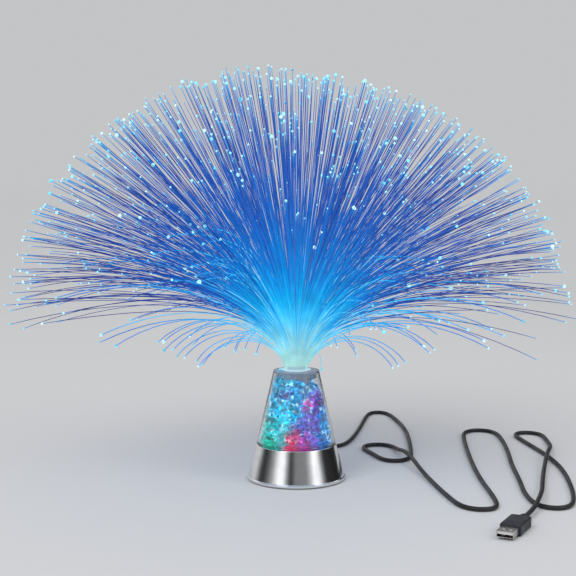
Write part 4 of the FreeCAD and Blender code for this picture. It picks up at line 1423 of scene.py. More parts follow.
    def label(self, words: str, y: float) -> None:
        """Raises a word on the cover beside the switch, read from below.

        Args:
            words: The word.
            y: Where its middle lies along Y.
        """
        text = bpy.data.curves.new(f"Label_{words}", "FONT")
        text.body, text.size, text.extrude = words, self.label_size, self.label_height
        text.align_x = text.align_y = "CENTER"
        flat = bpy.data.objects.new("label_work", text)
        mesh = bpy.data.meshes.new_from_object(flat)
        bpy.data.objects.remove(flat)
        points = np.zeros(len(mesh.vertices) * 3, np.float32)
        mesh.vertices.foreach_get("co", points)
        faces = [np.array([list(face.vertices)]) for face in mesh.polygons]
        surface = Surface(points.reshape(-1, 3).astype(float), faces)
        place = (self.switch_distance - self.label_inset, y, self.cover_face - self.label_sink)
        surface = surface.moved(turned_by("X", 180, place))
        write_piece(f"Label_{words}", surface, Body.BASE, LABEL_GREY.make(), (), 30)

    def springs(self) -> None:
        """Winds a tapered spring at one end of each cell: a circle that shrinks as it rises, turn by turn."""
        turn = np.linspace(0, 2 * math.pi * self.spring_turns, 105)
        radius = self.spring_radius - self.spring_taper * turn / (2 * math.pi)
        rise = self.spring_foot + self.spring_pitch * turn / (2 * math.pi)
        cells = np.array([-self.spring_spacing, 0.0, self.spring_spacing])[:, None]
        ends = np.array([1.0, -1.0, 1.0])[:, None]
        path = np.stack([cells + radius * np.cos(turn), ends * (self.spring_seat + rise),
                         self.spring_height + radius * np.sin(turn) + 0 * cells], -1)
        sideways = np.stack([np.cos(turn) + 0 * cells, 0 * turn + 0 * cells, np.sin(turn) + 0 * cells], -1)
        surface = swept(path, sideways, disc_section(self.spring_wire, 8))
        write_piece("Battery_springs", surface, Body.BASE, SPRING_PLATE.make(), (), 60)

    def build(self) -> None:
        """Makes and dresses the whole base."""
        self.shell()
        self.foot()
        self.screws()
        self.ribs()
        self.knob_ribs()
        self.label("OFF", self.off_place)
        self.label("ON", self.on_place)
        self.springs()
        black = COVER_BLACK.make()
        board = CircuitBoard().make()
        led = LED_MILK.make()
        finishes = {
            "base_cover": black, "battery_door": black, "switch_body": SWITCH_BLACK.make(),
            "switch_knob": KNOB_GREY.make(), "battery_contacts": SPRING_PLATE.make(), "light_board": board,
            "spray_board": board, "crystal_lights": led, "spray_light": led, "spray_leads": COPPER.make(),
            "lead_tube": CLEAR_TUBE.make(),
        }
        for node, finish in finishes.items():
            dress(node, finish)


# ---------------------------------------------------------------- container and crystals


@dataclass(frozen=True)
class LitSpots:
    """The coloured light that lies in the container: spots with a place, a colour and a strength."""

    softness: float = 1.5
    spots: tuple[tuple[Colour, Colour, float], ...] = (
        ((-20, -20, 31), (0.0, 0.50, 0.34), 0.8), ((-25, -8, 42), (0.0, 0.52, 0.50), 1.1),
        ((-15, -19, 47), (0.0, 0.56, 0.66), 1.2), ((-14, -15, 58), (0.0, 0.46, 0.74), 1.1),
        ((-4, -17, 57), (0.0, 0.50, 0.78), 1.1), ((-11, -12, 80), (0.01, 0.40, 0.64), 1.0),
        ((-8, -13, 71), (0.10, 0.10, 0.46), 0.6), ((3, -14, 67), (0.0, 0.36, 0.70), 0.8),
        ((9, -11, 76), (0.02, 0.32, 0.62), 0.8), ((15, -15, 67), (0.17, 0.05, 0.42), 0.9),
        ((12, -19, 58), (0.10, 0.07, 0.46), 1.0), ((5, -23, 46), (0.09, 0.10, 0.50), 0.8),
        ((13, -23, 47), (0.11, 0.06, 0.44), 0.9), ((21, -12, 54), (0.01, 0.26, 0.70), 0.7),
        ((24, -13, 44), (0.01, 0.30, 0.66), 0.9), ((23, -17, 35), (0.01, 0.17, 0.52), 1.0),
        ((13, -26, 35), (0.12, 0.05, 0.44), 0.8), ((-6, -28, 35), (0.85, 0.0, 0.14), 0.64),
        ((3, -26, 43), (0.70, 0.05, 0.26), 0.55), ((9, -27, 33), (0.50, 0.02, 0.34), 0.5),
        ((9, -19, 63), (0.70, 0.03, 0.30), 0.5), ((-14, -25, 37), (0.0, 0.44, 0.46), 0.8),
        ((0, 20, 45), (0.0, 0.42, 0.66), 1.0), ((-16, 18, 60), (0.13, 0.07, 0.46), 1.0),
        ((17, 18, 38), (0.0, 0.46, 0.36), 1.0), ((-8, 25, 35), (0.80, 0.0, 0.18), 0.7),
        ((12, 12, 75), (0.01, 0.30, 0.68), 1.0), ((-24, 14, 38), (0.02, 0.22, 0.60), 1.0),
    )

    def at(self, places: Array) -> Array:
        """Gives the light's colour at each place: a mean of the spots, weighed by strength^3 / distance^5.

        Args:
            places: Where to look.

        Returns:
            One colour for each place.
        """
        middles = np.array([spot[0] for spot in self.spots], float)
        colours = np.array([spot[1] for spot in self.spots])
        strengths = np.array([spot[2] for spot in self.spots])
        apart = np.linalg.norm(places[:, None] - middles[None], axis=-1) + self.softness
        weight = strengths ** 3 / apart ** 5
        return (weight[..., None] * colours).sum(1) / weight.sum(1, keepdims=True)


@dataclass
class ClearCone:
    """The clear container that stands in the base, its lit floor, and the cap with the spray's socket."""

    light: LitSpots
    turns: int = 160
    spigot_foot: float = 22.8
    spigot_bore: float = 28.65
    spigot_radius: float = 30.25
    joint: float = 28.8
    foot_radius: float = 32.2
    ledge: float = 30.4
    ledge_bore: float = 30.95
    rim: float = 87.8
    rim_radius: float = 18.6
    rim_bore: float = 17.6
    tray_top: float = 31.6
    tray_bore: float = 3.3
    tray_seat: float = 30.5
    tray_radius: float = 29.9
    tray_skirt_foot: float = 23.4
    tray_skirt_bore: float = 27.2
    tray_skirt_radius: float = 28.4
    light_level: float = 33.0
    cap_top: float = 88.6
    cap_skirt_foot: float = 82.4
    cap_skirt_radius: float = 16.75
    socket_bore: float = 9.55
    socket_radius: float = 10.95
    socket_floor: float = 72.0
    socket_foot: float = 71.0
    light_bore: float = 7.65

    def wall(self) -> None:
        """Turns the container: a spigot, a ledge and a tapering wall, with softened edges."""
        corners = [(self.spigot_bore, self.spigot_foot), (self.spigot_radius, self.spigot_foot),
                   (self.spigot_radius, self.joint), (self.foot_radius, self.joint + 0.05),
                   (self.rim_radius, self.rim), (self.rim_bore, self.rim),
                   (self.ledge_bore, self.ledge), (self.spigot_bore, self.ledge)]
        outline = softened(corners, [0.2, 0.3, 0.1, 0.45, 0.35, 0.3, 0.3, 0.2], 5)
        write_piece("Container_wall", lathed(outline, self.turns), Body.BASE, CLEAR.make(),
                    ("container",), 50)

    def tray(self) -> None:
        """Turns the milky floor that spreads the light: a disc with a skirt that goes down inside."""
        corners = [(self.tray_bore, self.tray_top), (self.tray_bore, self.ledge),
                   (self.tray_skirt_bore, self.ledge), (self.tray_skirt_bore, self.tray_skirt_foot),
                   (self.tray_skirt_radius, self.tray_skirt_foot), (self.tray_skirt_radius, self.tray_seat),
                   (self.tray_radius, self.tray_seat), (self.tray_radius - 0.15, self.tray_top)]
        surface = lathed(softened(corners, 0.25, 4), self.turns)
        places = surface.points[surface.faces[0].ravel()]
        light = self.light.at(places * (1.0, 1.0, 0.0) + (0.0, 0.0, self.light_level))
        surface.paints["Glow"] = np.column_stack([light, np.ones(len(light))])
        write_piece("Diffuser_tray", surface, Body.BASE, TRAY_MILK.make(),
                    ("diffuser",), 50)

    def cap(self) -> None:
        """Turns the cap: a flange on the wall's rim, a short skirt inside it and the deep socket."""
        corners = [(self.socket_bore, self.cap_top), (self.socket_bore, self.socket_floor),
                   (self.light_bore, self.socket_floor), (self.light_bore, self.socket_foot),
                   (self.socket_radius, self.socket_foot), (self.socket_radius, self.cap_skirt_foot),
                   (self.cap_skirt_radius, self.cap_skirt_foot), (self.cap_skirt_radius, self.rim),
                   (self.rim_radius, self.rim), (self.rim_radius, self.cap_top)]
        outline = softened(corners, [0.25, 0.2, 0.2, 0.2, 0.9, 1.2, 0.5, 0.15, 0.3, 0.3], 5)
        write_piece("Top_cap", lathed(outline, self.turns), Body.BASE, SMOKE.make(),
                    ("top_cap",), 50)

    def build(self) -> None:
        """Makes the container, its floor and its cap."""
        self.wall()
        self.tray()
        self.cap()


@dataclass
class CrystalPile:
    """The loose crystals: rough chunks that fill the container and lie against each other.

    Each chunk is a solid of fourteen corners and twenty-four flat faces, pulled out of shape. Its ridges
    carry a painted highlight and the middles of its sides painted shade, and a few of its faces carry painted
    glints. A by_ field is the part of its radius that a chunk keeps from a side, and a Pair is the least and
    the most of what is drawn at random.
    """

    light: LitSpots
    count: int = 330
    chunk: float = 3.65
    floor: float = 31.7
    wall_foot: float = 30.64
    wall_slope: float = 0.2317
    wall_gap: float = 0.25
    roof: float = 82.5
    lowest_roof: float = 40.0
    slump_start: float = -2.0
    slump: float = 0.25
    slide_start: float = 5.0
    slide: float = 0.035
    tube_radius: float = 3.2
    socket_radius: float = 11.2
    socket_foot: float = 69.4
    by_roof: float = 0.6
    by_floor: float = 0.85
    by_wall: float = 0.72
    by_core: float = 0.9
    narrow_above: float = 60.0
    step_down: float = 1.5
    start_rise: float = 50.0
    start_reach: float = 26.0
    rounds: int = 220
    closeness: float = 0.93
    push: float = 0.3
    diagonal: float = 0.66
    sizes: Pair = (0.84, 1.14)
    corner_reaches: Pair = (0.74, 1.1)
    stretches: Pair = (0.78, 1.14)
    chunk_tones: Pair = (0.7, 1.25)
    face_tones: Pair = (0.5, 1.35)
    # Painted highlight on the chunks' ridges and painted shade in the middles of their sides.
    painted_ridge_highlights: Pair = (0.9, 1.7)
    painted_middle_shade: Pair = (0.2, 0.8)
    # Painted glints: their colour, the chance that a face carries one, and how strongly it is mixed in.
    painted_glint_colour: Colour = (0.42, 0.86, 1.0)
    painted_glint_chance: float = 0.11
    painted_glint_strengths: Pair = (0.3, 0.85)

    def inside(self, places: Array, margin: float) -> Array:
        """Moves places inside the container and clear of the tube, the light and the socket.

        The pile's roof falls evenly from slump_start on towards +X, and with the square of the distance from
        slide_start on. A chunk is no ball, so it may come nearer to each side than its margin. High up, where
        it fits nowhere between the socket and the wall, it steps down.

        Args:
            places: The middles of the chunks.
            margin: A chunk's radius.

        Returns:
            The moved places.
        """
        spot = places.copy()
        slump = self.slump * np.clip(spot[:, 0] - self.slump_start, 0, None)
        slide = self.slide * np.clip(spot[:, 0] - self.slide_start, 0, None) ** 2
        roof = np.maximum(self.roof - slump - slide - margin * self.by_roof, self.lowest_roof)
        spot[:, 2] = np.clip(spot[:, 2], self.floor + margin * self.by_floor, roof)
        reach = np.hypot(spot[:, 0], spot[:, 1]) + 1e-9
        height = spot[:, 2] + margin * 0.2 - self.floor
        most = self.wall_foot - self.wall_slope * height - margin * self.by_wall
        by_socket = spot[:, 2] > self.socket_foot - margin
        least = np.where(by_socket, self.socket_radius, self.tube_radius) + margin * self.by_core
        wanted = np.minimum(np.maximum(reach, least), most)
        spot[:, :2] *= (wanted / reach)[:, None]
        spot[(least > most) & (spot[:, 2] > self.narrow_above), 2] -= self.step_down
        return spot

    def settle(self) -> tuple[Array, Array]:
        """Spreads the chunks evenly: each pushes its near neighbours off, over and over.

        A pair nearer than the sum of their radii moves apart by part of what is missing.

        Returns:
            The middles and the radii.
        """
        source = rng(1)
        sizes = self.chunk * source.uniform(*self.sizes, self.count)
        height = self.floor + self.start_rise * source.random(self.count) ** 1.35
        bearing = source.uniform(0, 2 * math.pi, self.count)
        across = self.start_reach * np.sqrt(source.random(self.count))
        spot = round_points(across, bearing, height)
        wanted = self.closeness * (sizes[:, None] + sizes[None])
        for _ in range(self.rounds):
            gap = spot[:, None] - spot[None]
            apart = np.linalg.norm(gap, axis=-1) + np.eye(self.count) * 1e6
            push = np.clip(wanted - apart, 0, None) / apart
            spot = self.inside(spot + self.push * np.sum(gap * push[..., None], 1), self.chunk)
        return spot, sizes

    def one_chunk(self) -> tuple[Array, Array]:
        """Gives the plain chunk: six points on the axes, eight on the diagonals and twenty-four triangles.

        Returns:
            The points, and three point numbers for each face, the axis point first.
        """
        axes = np.concatenate([np.eye(3), -np.eye(3)])
        corners = np.array([(x, y, z) for x in (-1, 1) for y in (-1, 1) for z in (-1, 1)]) * self.diagonal
        faces = []
        for number, axis in enumerate(axes):
            ring = [index for index, corner in enumerate(corners) if corner @ axis > 0]
            other = np.roll(axis, 1)
            third = np.cross(axis, other)
            ring.sort(key=lambda index: math.atan2(corners[index] @ third, corners[index] @ other))
            faces += [(number, ring[side] + 6, ring[(side + 1) % 4] + 6) for side in range(4)]
        return np.concatenate([axes, corners]), np.array(faces)

    def shaped(self, source: np.random.Generator, shape: Array) -> Array:
        """Pulls each chunk out of shape, turns it any way and holds it inside the floor and the wall.

        Args:
            source: The random numbers.
            shape: The plain chunk's points.

        Returns:
            Chunks x points x 3 places.
        """
        spot, sizes = self.settle()
        reach = source.uniform(*self.corner_reaches, (self.count, len(shape), 1))
        stretch = source.uniform(*self.stretches, (self.count, 1, 3))
        points = shape[None] * reach * stretch * sizes[:, None, None]
        spin = np.linalg.qr(source.normal(size=(self.count, 3, 3)))[0]
        spin *= np.sign(np.linalg.det(spin))[:, None, None]
        points = np.einsum("nij,nkj->nki", spin, points) + spot[:, None]
        points[..., 2] += np.clip(self.floor - points[..., 2].min(1), 0, None)[:, None]
        most = self.wall_foot - self.wall_gap - self.wall_slope * (points[..., 2] - self.floor)
        reach = np.hypot(points[..., 0], points[..., 1])
        points[..., :2] *= np.minimum(1, most / reach)[..., None]
        return points

    def painted(self, source: np.random.Generator, points: Array, rows: Array) -> Array:
        """Gives each corner of each face its light: the light there, times the face's tone and the corner's
        own painted highlight on the ridges or painted shade in the middles, mixed to painted glints on a few
        faces.

        Args:
            source: The random numbers.
            points: Chunks x points x 3 places.
            rows: Three point numbers for each face.

        Returns:
            Four numbers for each corner.
        """
        base = self.light.at(points.reshape(-1, 3)[rows].mean(1))
        tone = np.repeat(source.uniform(*self.chunk_tones, self.count), len(rows) // self.count)
        tone = tone * source.uniform(*self.face_tones, len(rows))
        # Painted highlight on the ridges; the first six points, the middles of the sides, get painted shade.
        painted_corner_light = source.uniform(*self.painted_ridge_highlights, points.shape[:2])
        painted_corner_light[:, :6] = source.uniform(*self.painted_middle_shade, (self.count, 6))
        light = base[:, None] * tone[:, None, None] * painted_corner_light.reshape(-1)[rows][..., None]
        # Painted glints: a few faces mixed towards a pale cyan that is brighter where the light is.
        painted_glints = source.random(len(rows)) > 1 - self.painted_glint_chance
        share = (painted_glints * source.uniform(*self.painted_glint_strengths, len(rows)))[:, None, None]
        brightness = 0.45 + base.max(1)[:, None, None]
        light = light * (1 - share) + np.array(self.painted_glint_colour) * share * brightness
        return np.concatenate([light, np.ones((*light.shape[:2], 1))], -1).reshape(-1, 4)

    def chunks(self) -> Surface:
        """Builds every chunk.

        Returns:
            All chunks in one surface, with the paint Glow and a baking map of one cell for each face.
        """
        source = rng(2)
        shape, faces = self.one_chunk()
        points = self.shaped(source, shape)
        rows = (faces[None] + len(shape) * np.arange(self.count)[:, None, None]).reshape(-1, 3)
        glow = self.painted(source, points, rows)
        return Surface(points.reshape(-1, 3), [rows], {"OFBake": triangle_cells(len(rows))}, {"Glow": glow})

    def build(self) -> None:
        """Writes the pile as one piece."""
        nodes = ("crystals_teal", "crystals_blue", "crystals_violet", "crystals_pink")
        write_piece("Crystals", self.chunks(), Body.BASE, CRYSTAL.make(), nodes, None, False)


def triangle_cells(count: int) -> Array:
    """Gives each triangle its own square cell of the unit map.

    Args:
        count: How many triangles there are.

    Returns:
        A place on the map for each corner.
    """
    side = math.ceil(math.sqrt(count))
    number = np.arange(count)
    low = np.stack([number % side, number // side], -1)[:, None] + 0.12
    corners = np.array([(0.0, 0.0), (0.76, 0.0), (0.0, 0.76)])[None]
    return ((low + corners) / side).reshape(-1, 2)


# ---------------------------------------------------------------- spray


@dataclass(frozen=True)
class Row:
    """One row of the dome's fibres: a node of the frame, its finish and its part of the whole dome."""

    node: str
    finish: FibreGlow
    slot: str
    low: float
    high: float


@dataclass(frozen=True)
class SkirtKind:
    """One kind of the skirt's fibres; a Pair is the shortest one's value and what the longest adds to it."""

    share: float
    length: Pair
    first_lean: float
    last_lean: Pair
    bend: Pair


@dataclass
class FibreSpray:
    """The spray: fine light fibres gathered in a collar, that part, arch and end in bright points.

    A fibre leaves upright. Its lean after a part p of its length is tilt (1 - e^(-p / rise)) (1 + sag p), its
    bearing drifts a little, and its place is the running sum of its heading. Low fibres sag most, and in
    front, where they would hide the container, they are left out. Angles are in degrees. A Pair is the least
    and the most of what is drawn at random.
    """

    dome_count: int = 1900
    skirt_count: int = 128
    clump_count: int = 260
    widest: float = 83.0
    length: float = 241.5
    low_gain: float = 4.0
    start_height: float = 89.2
    bundle_radius: float = 8.25
    collar_bore: float = 8.5
    sleeve_radius: float = 9.3
    sleeve_foot: float = 72.0
    flange_radius: float = 11.8
    flange_foot: float = 88.6
    flange_top: float = 89.8
    thickness: float = 0.56
    arc_thickness: float = 0.78
    samples: int = 20
    crowding: float = 1.5
    fine: int = 160
    front_gap: float = 36.0
    front_fade: float = 38.0
    low_tilt: float = 54.0
    lowest_tilt: float = 66.0
    least_open: float = 0.05
    clinging: float = 0.42
    short_share: float = 0.34
    short_lengths: Pair = (0.6, 0.96)
    full_lengths: Pair = (0.972, 1.0)
    rise: float = 0.125
    low_rise: float = 0.06
    rises: Pair = (0.8, 1.25)
    sag: float = 0.27
    sags: Pair = (0.5, 1.4)
    middle_tone: float = 0.32
    tone_gain: float = 0.48
    tone_spread: float = 0.24
    pale_share: float = 0.1
    pale_tone: float = 0.15
    skirt_gap: float = 61.0
    skirt_kinds: tuple[SkirtKind, ...] = (
        SkirtKind(0.42, (86.0, 50.0), 10.0, (150.0, -20.0), (0.8, 0.0)),
        SkirtKind(0.28, (160.0, 75.0), 8.0, (118.0, -14.0), (0.5, 0.1)),
        SkirtKind(0.30, (100.0, 56.0), 6.0, (100.0, -22.0), (0.6, 0.1)),
    )
    stray_corners: tuple[tuple[Place, ...], ...] = (
        ((7, -4, 90), (12, -7, 116), (19, -9, 112), (20.0, -9, 90.2)),
        ((-7, -4, 90), (-9.5, -6, 99), (-13, -7.5, 97), (-12.6, -8, 90.2)),
        ((7.5, -3, 90), (12, -5, 110), (21, -7, 116), (27.5, -8, 109.5)),
    )
    arch_pixels: tuple[tuple[int, int], ...] = (
        (398, 260), (423, 260), (409, 285), (373, 306), (451, 276), (451, 288), (439, 321), (468, 330),
        (384, 332), (504, 336), (483, 303), (208, 263), (192, 267), (185, 268), (196, 276), (199, 282),
        (226, 278), (203, 244), (193, 232), (168, 237), (154, 254), (149, 285), (101, 335),
    )
    arch_foot: Place = (6.5, -4.0, 90.0)
    arch_front: float = 46.0
    arch_front_fall: float = 0.1
    arch_low: Place = (0.12, 0.14, 0.0)
    arch_low_rise: float = 0.8
    arch_low_least: float = 50.0
    arch_high: Place = (0.56, 0.6, 0.0)
    arch_high_over: float = 12.0
    arch_high_least: float = 60.0
    ball_rings: int = 5
    ball_sides: int = 6
    ball_least: float = 0.6
    ball_gain: float = 0.85
    ball_cyan: Colour = (0.10, 0.70, 1.0)
    ball_white: Colour = (0.55, 0.95, 1.0)
    rows: tuple[Row, ...] = (
        Row("fibres_crown", FIBRE_BLUE, "fibre_blue", 0.0, 0.25),
        Row("fibres_upper", FIBRE_BLUE, "fibre_blue", 0.25, 0.5),
        Row("fibres_middle", FIBRE_BLUE, "fibre_blue", 0.5, 0.75),
        Row("fibres_lower", FIBRE_VIOLET, "fibre_violet", 0.75, 1.0),
    )
    ends: list[Array] = field(default_factory=list)

    def paths(self, lean: Array, drift: Array, radius: Array, length: Array, bearing: Array) -> Array:
        """Adds up the headings of fibres.

        Args:
            lean: Angle from upright at each fine step of each fibre.
            drift: How far each fibre's bearing turns over its length.
            radius: How far from the axis each starts.
            length: Each fibre's length.
            bearing: The way each starts out.

        Returns:
            Fibres x samples x 3 places, closer together near the bundle.
        """
        part = np.linspace(0, 1, self.fine)
        way = bearing[:, None] + drift[:, None] * part ** 2
        heading = round_points(np.sin(lean), way, np.cos(lean))
        step = (length / (self.fine - 1))[:, None, None]
        places = np.cumsum((heading[:, 1:] + heading[:, :-1]) / 2 * step, 1)
        places = np.concatenate([np.zeros((len(length), 1, 3)), places], 1)
        start = round_points(radius, bearing, self.start_height)
        chosen = np.round((np.linspace(0, 1, self.samples) ** self.crowding) * (self.fine - 1)).astype(int)
        return (places + start[:, None])[:, chosen]

    def tubes(self, places: Array, bearing: Array, tone: Array, thickness: float, bead: float) -> Surface:
        """Gives fibres their thickness, and the maps for their light.

        Args:
            places: Fibres x samples x 3.
            bearing: The way each starts out.
            tone: Each fibre's tone, from 0 to 1.
            thickness: Each fibre's diameter.
            bead: How much larger its bright end is than most.

        Returns:
            The tubes with the maps Along and OFBake.
        """
        sideways = np.stack([-np.sin(bearing), np.cos(bearing), 0 * bearing], -1)
        surface = swept(places, sideways, disc_section(thickness / 2, 3))
        count, length = places.shape[:2]
        part = np.repeat(np.linspace(0, 1, length) ** self.crowding, 3)
        tones = np.repeat(tone[:, None], length * 3, 1)
        along = np.stack([tones, np.tile(part, (count, 1))], -1).reshape(-1, 2)
        lane = (np.arange(count)[:, None, None] + np.tile([0.15, 0.5, 0.85], length)[None, :, None]) / count
        bake = np.concatenate([lane, np.broadcast_to(part[None, :, None], lane.shape)], -1).reshape(-1, 2)
        corners = np.concatenate([rows.ravel() for rows in surface.faces])
        surface.maps = {"Along": along[corners], "OFBake": bake[corners]}
        self.ends.append(np.column_stack([places[:, -1], np.full(count, bead)]))
        return surface

    def aims(self, source: np.random.Generator, share: Array) -> tuple[Array, Array]:
        """Gives each fibre of the dome its tilt and bearing.

        The tilts fill the dome evenly, a golden turn apart. Then each fibre turns part of the way towards the
        nearest of some clumps, as fibres that cling together do.

        Args:
            source: The random numbers.
            share: Each fibre's part of the whole dome, from 0 in the middle to 1 at its edge.

        Returns:
            The tilts and the bearings, in radians.
        """
        tilt = np.arccos(1 - share * (1 - math.cos(math.radians(self.widest))))
        tilt = np.abs(tilt + np.radians(source.normal(0, 1.5, len(tilt))))
        bearing = np.arange(len(share)) * GOLDEN_TURN + source.normal(0, 0.05, len(tilt))
        flat = np.stack([tilt * np.cos(bearing), tilt * np.sin(bearing)], -1)
        clumps = flat[source.choice(len(flat), self.clump_count, replace=False)]
        nearest = clumps[np.argmin(np.linalg.norm(flat[:, None] - clumps[None], axis=-1), 1)]
        flat += source.uniform(0.0, self.clinging, (len(flat), 1)) * (nearest - flat)
        return np.linalg.norm(flat, axis=1), np.arctan2(flat[:, 1], flat[:, 0])

    @staticmethod
    def off_front(bearing: Array) -> Array:
        """Gives the angle between each bearing and the front, which is -Y."""
        return np.abs((bearing + 1.5 * math.pi) % (2 * math.pi) - math.pi)

    def chance(self, tilt: Array, bearing: Array) -> Array:
        """Gives the chance that a fibre of the dome is there: small for low ones in front.

        Args:
            tilt: Each fibre's tilt.
            bearing: The way each starts out.

        Returns:
            A number from 0 to 1 for each fibre.
        """
        past_gap = self.off_front(bearing) - math.radians(self.front_gap)
        opened = np.clip(past_gap / math.radians(self.front_fade), self.least_open, 1)
        half = np.where(opened > self.least_open, 0.5, 0)
        low = np.where(tilt > math.radians(self.low_tilt), opened, 1)
        return low * np.where(tilt > math.radians(self.lowest_tilt), half, 1)

    def dome(self) -> None:
        """Makes the four rows of the dome, with two thirds of the fibres at about full length."""
        source = rng(3)
        share = (np.arange(self.dome_count) + 0.5) / self.dome_count
        tilt, bearing = self.aims(source, share)
        count = len(tilt)
        kept = source.random(count) < self.chance(tilt, bearing)
        low = np.sin(tilt) ** 2
        length = (self.length + self.low_gain * low) * (1 - 0.02 * np.cos(bearing))
        short = source.random(count) < self.short_share
        length *= np.where(short, source.uniform(*self.short_lengths, count),
                           source.uniform(*self.full_lengths, count))
        rise = ((self.rise + self.low_rise * low) * source.uniform(*self.rises, count))[:, None]
        sag = (self.sag * low * source.uniform(*self.sags, count))[:, None]
        part = np.linspace(0, 1, self.fine)[None]
        lean = tilt[:, None] * (1 - np.exp(-part / rise)) * (1 + sag * part)
        tone = self.middle_tone + self.tone_gain * share + source.normal(0, self.tone_spread, count)
        tone = np.clip(tone, 0, 1) * np.where(source.random(count) < self.pale_share, self.pale_tone, 1)
        drift = source.normal(0, 0.05, count)
        places = self.paths(lean, drift, self.bundle_radius * np.sqrt(share), length, bearing)
        for row in self.rows:
            mine = kept & (share >= row.low) & (share < row.high)
            surface = self.tubes(places[mine], bearing[mine], tone[mine], self.thickness, 0.0)
            write_piece(row.node.capitalize(), surface, Body.SPRAY, row.finish.make(),
                        (row.node,), 80, False)

    def skirt(self) -> None:
        """Makes the skirt: fibres from the bundle's edge that arch over low.

        A fibre's lean after a part p of its length is first + (last - first) p^bend. There are three kinds:
        short ones that come right down, long ones that dip and middling ones that end about level.
        """
        source = rng(4)
        bearing = np.arange(self.skirt_count) * GOLDEN_TURN + source.normal(0, 0.12, self.skirt_count)
        bearing = bearing[self.off_front(bearing) > math.radians(self.skirt_gap)]
        count = len(bearing)
        kinds = self.skirt_kinds
        kind = source.choice(len(kinds), count, p=[one.share for one in kinds])
        reach = source.random(count)

        def drawn(pairs: Sequence[Pair]) -> Array:
            """Gives each fibre its kind's first value and its own part of the second."""
            value, added = np.array(pairs)[kind].T
            return value + added * reach

        length = drawn([one.length for one in kinds])
        last = np.radians(drawn([one.last_lean for one in kinds]) + source.normal(0, 3, count))
        first = np.radians(np.array([one.first_lean for one in kinds])[kind])
        bend = drawn([one.bend for one in kinds])
        part = np.linspace(0, 1, self.fine)[None]
        lean = first[:, None] + (last - first)[:, None] * part ** bend[:, None]
        drift = source.normal(0, 0.15, count)
        places = self.paths(lean, drift, np.full(count, self.bundle_radius + 0.1), length, bearing)
        tone = source.uniform(0, 0.35, count) + 0.4 * (kind == 1)
        surface = self.tubes(places, bearing, tone, self.arc_thickness, 0.15)
        write_piece("Fibres_skirt", surface, Body.SPRAY, FIBRE_ARC.make(),
                    ("fibres_skirt",), 80, False)

    def bend(self, name: str, corners: Array, reach: float, tone: float, bead: float) -> None:
        """Makes fibres that each follow one curve: (1-t)^3 a + 3t(1-t)^2 b + 3t^2(1-t) c + t^3 d.

        Args:
            name: The piece's name.
            corners: Fibres x 4 x 3: the places a, b, c and d.
            reach: How far along its colours a fibre's end lies.
            tone: Their tone, from 0 to 1.
            bead: How much larger their bright ends are than most.
        """
        t = np.linspace(0, 1, self.samples)[None, :, None]
        a, b, c, d = (corners[:, index, None] for index in range(4))
        places = (1 - t) ** 3 * a + 3 * t * (1 - t) ** 2 * b + 3 * t ** 2 * (1 - t) * c + t ** 3 * d
        bearing = np.arctan2(corners[:, 3, 1], corners[:, 3, 0])
        surface = self.tubes(places, bearing, np.full(len(corners), tone), self.arc_thickness, bead)
        surface.maps["Along"][:, 1] *= reach
        write_piece(name, surface, Body.SPRAY, FIBRE_ARC.make(), (), 80, False)

    def strays(self) -> None:
        """Makes three short strays that droop beside the bundle."""
        self.bend("Fibres_stray", np.array(self.stray_corners, float), 0.3, 0.1, 0.1)

    def arches(self) -> None:
        """Makes the bright fibres that arch out of the dome's side.

        Each rises almost upright at first, then levels out above its end: its low and high corners stand over
        parts of the way from foot to end. Its end shows at one of arch_pixels. It stands in front of the
        lamp's axis by arch_front, less arch_front_fall for each pixel between it and the picture's middle.
        """
        studio = Studio()
        across, down = np.array(self.arch_pixels, float).T
        off_middle = np.abs(across - studio.picture_width / 2)
        last = studio.shown_at(across, down, self.arch_front - self.arch_front_fall * off_middle)
        first = np.tile(self.arch_foot, (len(last), 1))
        first[:, 0] *= np.sign(last[:, 0])
        rise = last[:, 2] - first[:, 2]
        low = first + (last - first) * self.arch_low
        low[:, 2] += np.maximum(self.arch_low_rise * rise, self.arch_low_least)
        high = first + (last - first) * self.arch_high
        high[:, 2] += np.maximum(rise + self.arch_high_over, self.arch_high_least)
        self.bend("Fibres_arching", np.stack([first, low, high, last], 1), 0.8, 0.0, 0.5)

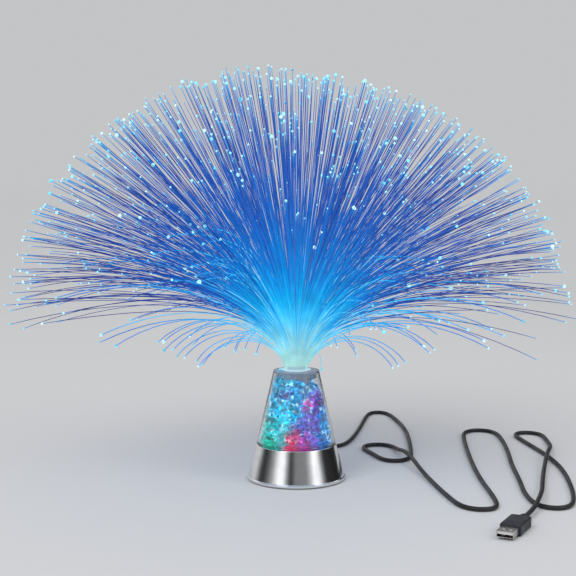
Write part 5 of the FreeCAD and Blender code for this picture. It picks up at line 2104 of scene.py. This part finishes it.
    def ball(self) -> tuple[Array, Array]:
        """Gives a low ball of radius 1: (sin a cos t, sin a sin t, cos a), with one point at each pole.

        Returns:
            The points, and three point numbers for each face.
        """
        rings, sides = self.ball_rings, self.ball_sides
        fall = math.pi * np.arange(rings) / (rings - 1)
        turn = 2 * math.pi * np.arange(sides) / sides
        points = round_points(np.sin(fall)[:, None], turn, np.cos(fall)[:, None])[1:-1]
        points = np.concatenate([points.reshape(-1, 3), [(0, 0, 1), (0, 0, -1)]])
        top, bottom, lowest = len(points) - 2, len(points) - 1, (rings - 3) * sides
        side = np.arange(sides)
        after = (side + 1) % sides
        belt = grid_faces(rings - 2, sides, False, True)[:, ::-1]
        over = np.stack([np.full(sides, top), side, after], -1)
        under = np.stack([np.full(sides, bottom), lowest + after, lowest + side], -1)
        return points, np.concatenate([belt[:, [0, 1, 2]], belt[:, [0, 2, 3]], over, under])

    def points_of_light(self) -> None:
        """Puts a small bright bead on each fibre's end: p + r q for each point q of one ball."""
        source = rng(5)
        ends = np.concatenate(self.ends)
        middles = ends[:, :3]
        radius = self.ball_least + self.ball_gain * source.random(len(middles)) ** 3 + ends[:, 3]
        ball, faces = self.ball()
        points = middles[:, None] + ball[None] * radius[:, None, None]
        starts = (len(ball) * np.arange(len(middles)))[:, None, None]
        rows = (faces[None] + starts).reshape(-1, 3)
        tone = source.uniform(0, 1, len(middles))[:, None]
        light = np.array(self.ball_cyan) * (1 - tone) + np.array(self.ball_white) * tone
        glow = np.repeat(np.column_stack([light, np.ones(len(light))]), 3 * len(faces), 0)
        maps = {"OFBake": triangle_cells(len(rows))}
        surface = Surface(points.reshape(-1, 3), [rows], maps, {"Glow": glow})
        write_piece("Fibre_ends", surface, Body.SPRAY, FIBRE_END.make(), (), 80, False)

    def collar(self) -> None:
        """Turns the milky sleeve and the collar that rests on the cap."""
        bore, sleeve, flange = self.collar_bore, self.sleeve_radius, self.flange_radius
        corners = [(bore, self.sleeve_foot), (sleeve, self.sleeve_foot), (sleeve, self.flange_foot),
                   (flange, self.flange_foot), (flange, self.flange_top), (bore, self.flange_top)]
        outline = softened(corners, [0.15, 0.3, 0.15, 0.3, 0.45, 0.4], 5)
        write_piece("Collar", lathed(outline, 96), Body.SPRAY, COLLAR_MILK.make(),
                    ("ferrule",), 50)

    def build(self) -> None:
        """Makes the whole spray."""
        self.collar()
        dress("fibre_bundle", BUNDLE_MILK.make())
        self.dome()
        self.skirt()
        self.strays()
        self.arches()
        self.points_of_light()


# ---------------------------------------------------------------- the lamp


def main() -> None:
    """Builds the studio and every part of the lamp, in order."""
    logging.basicConfig(level=logging.INFO, format="%(name)s %(message)s")
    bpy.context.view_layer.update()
    Studio().build()
    build_cord()
    BaseUnit().build()
    light = LitSpots()
    ClearCone(light).build()
    CrystalPile(light).build()
    FibreSpray().build()


if __name__ == "__main__":
    main()
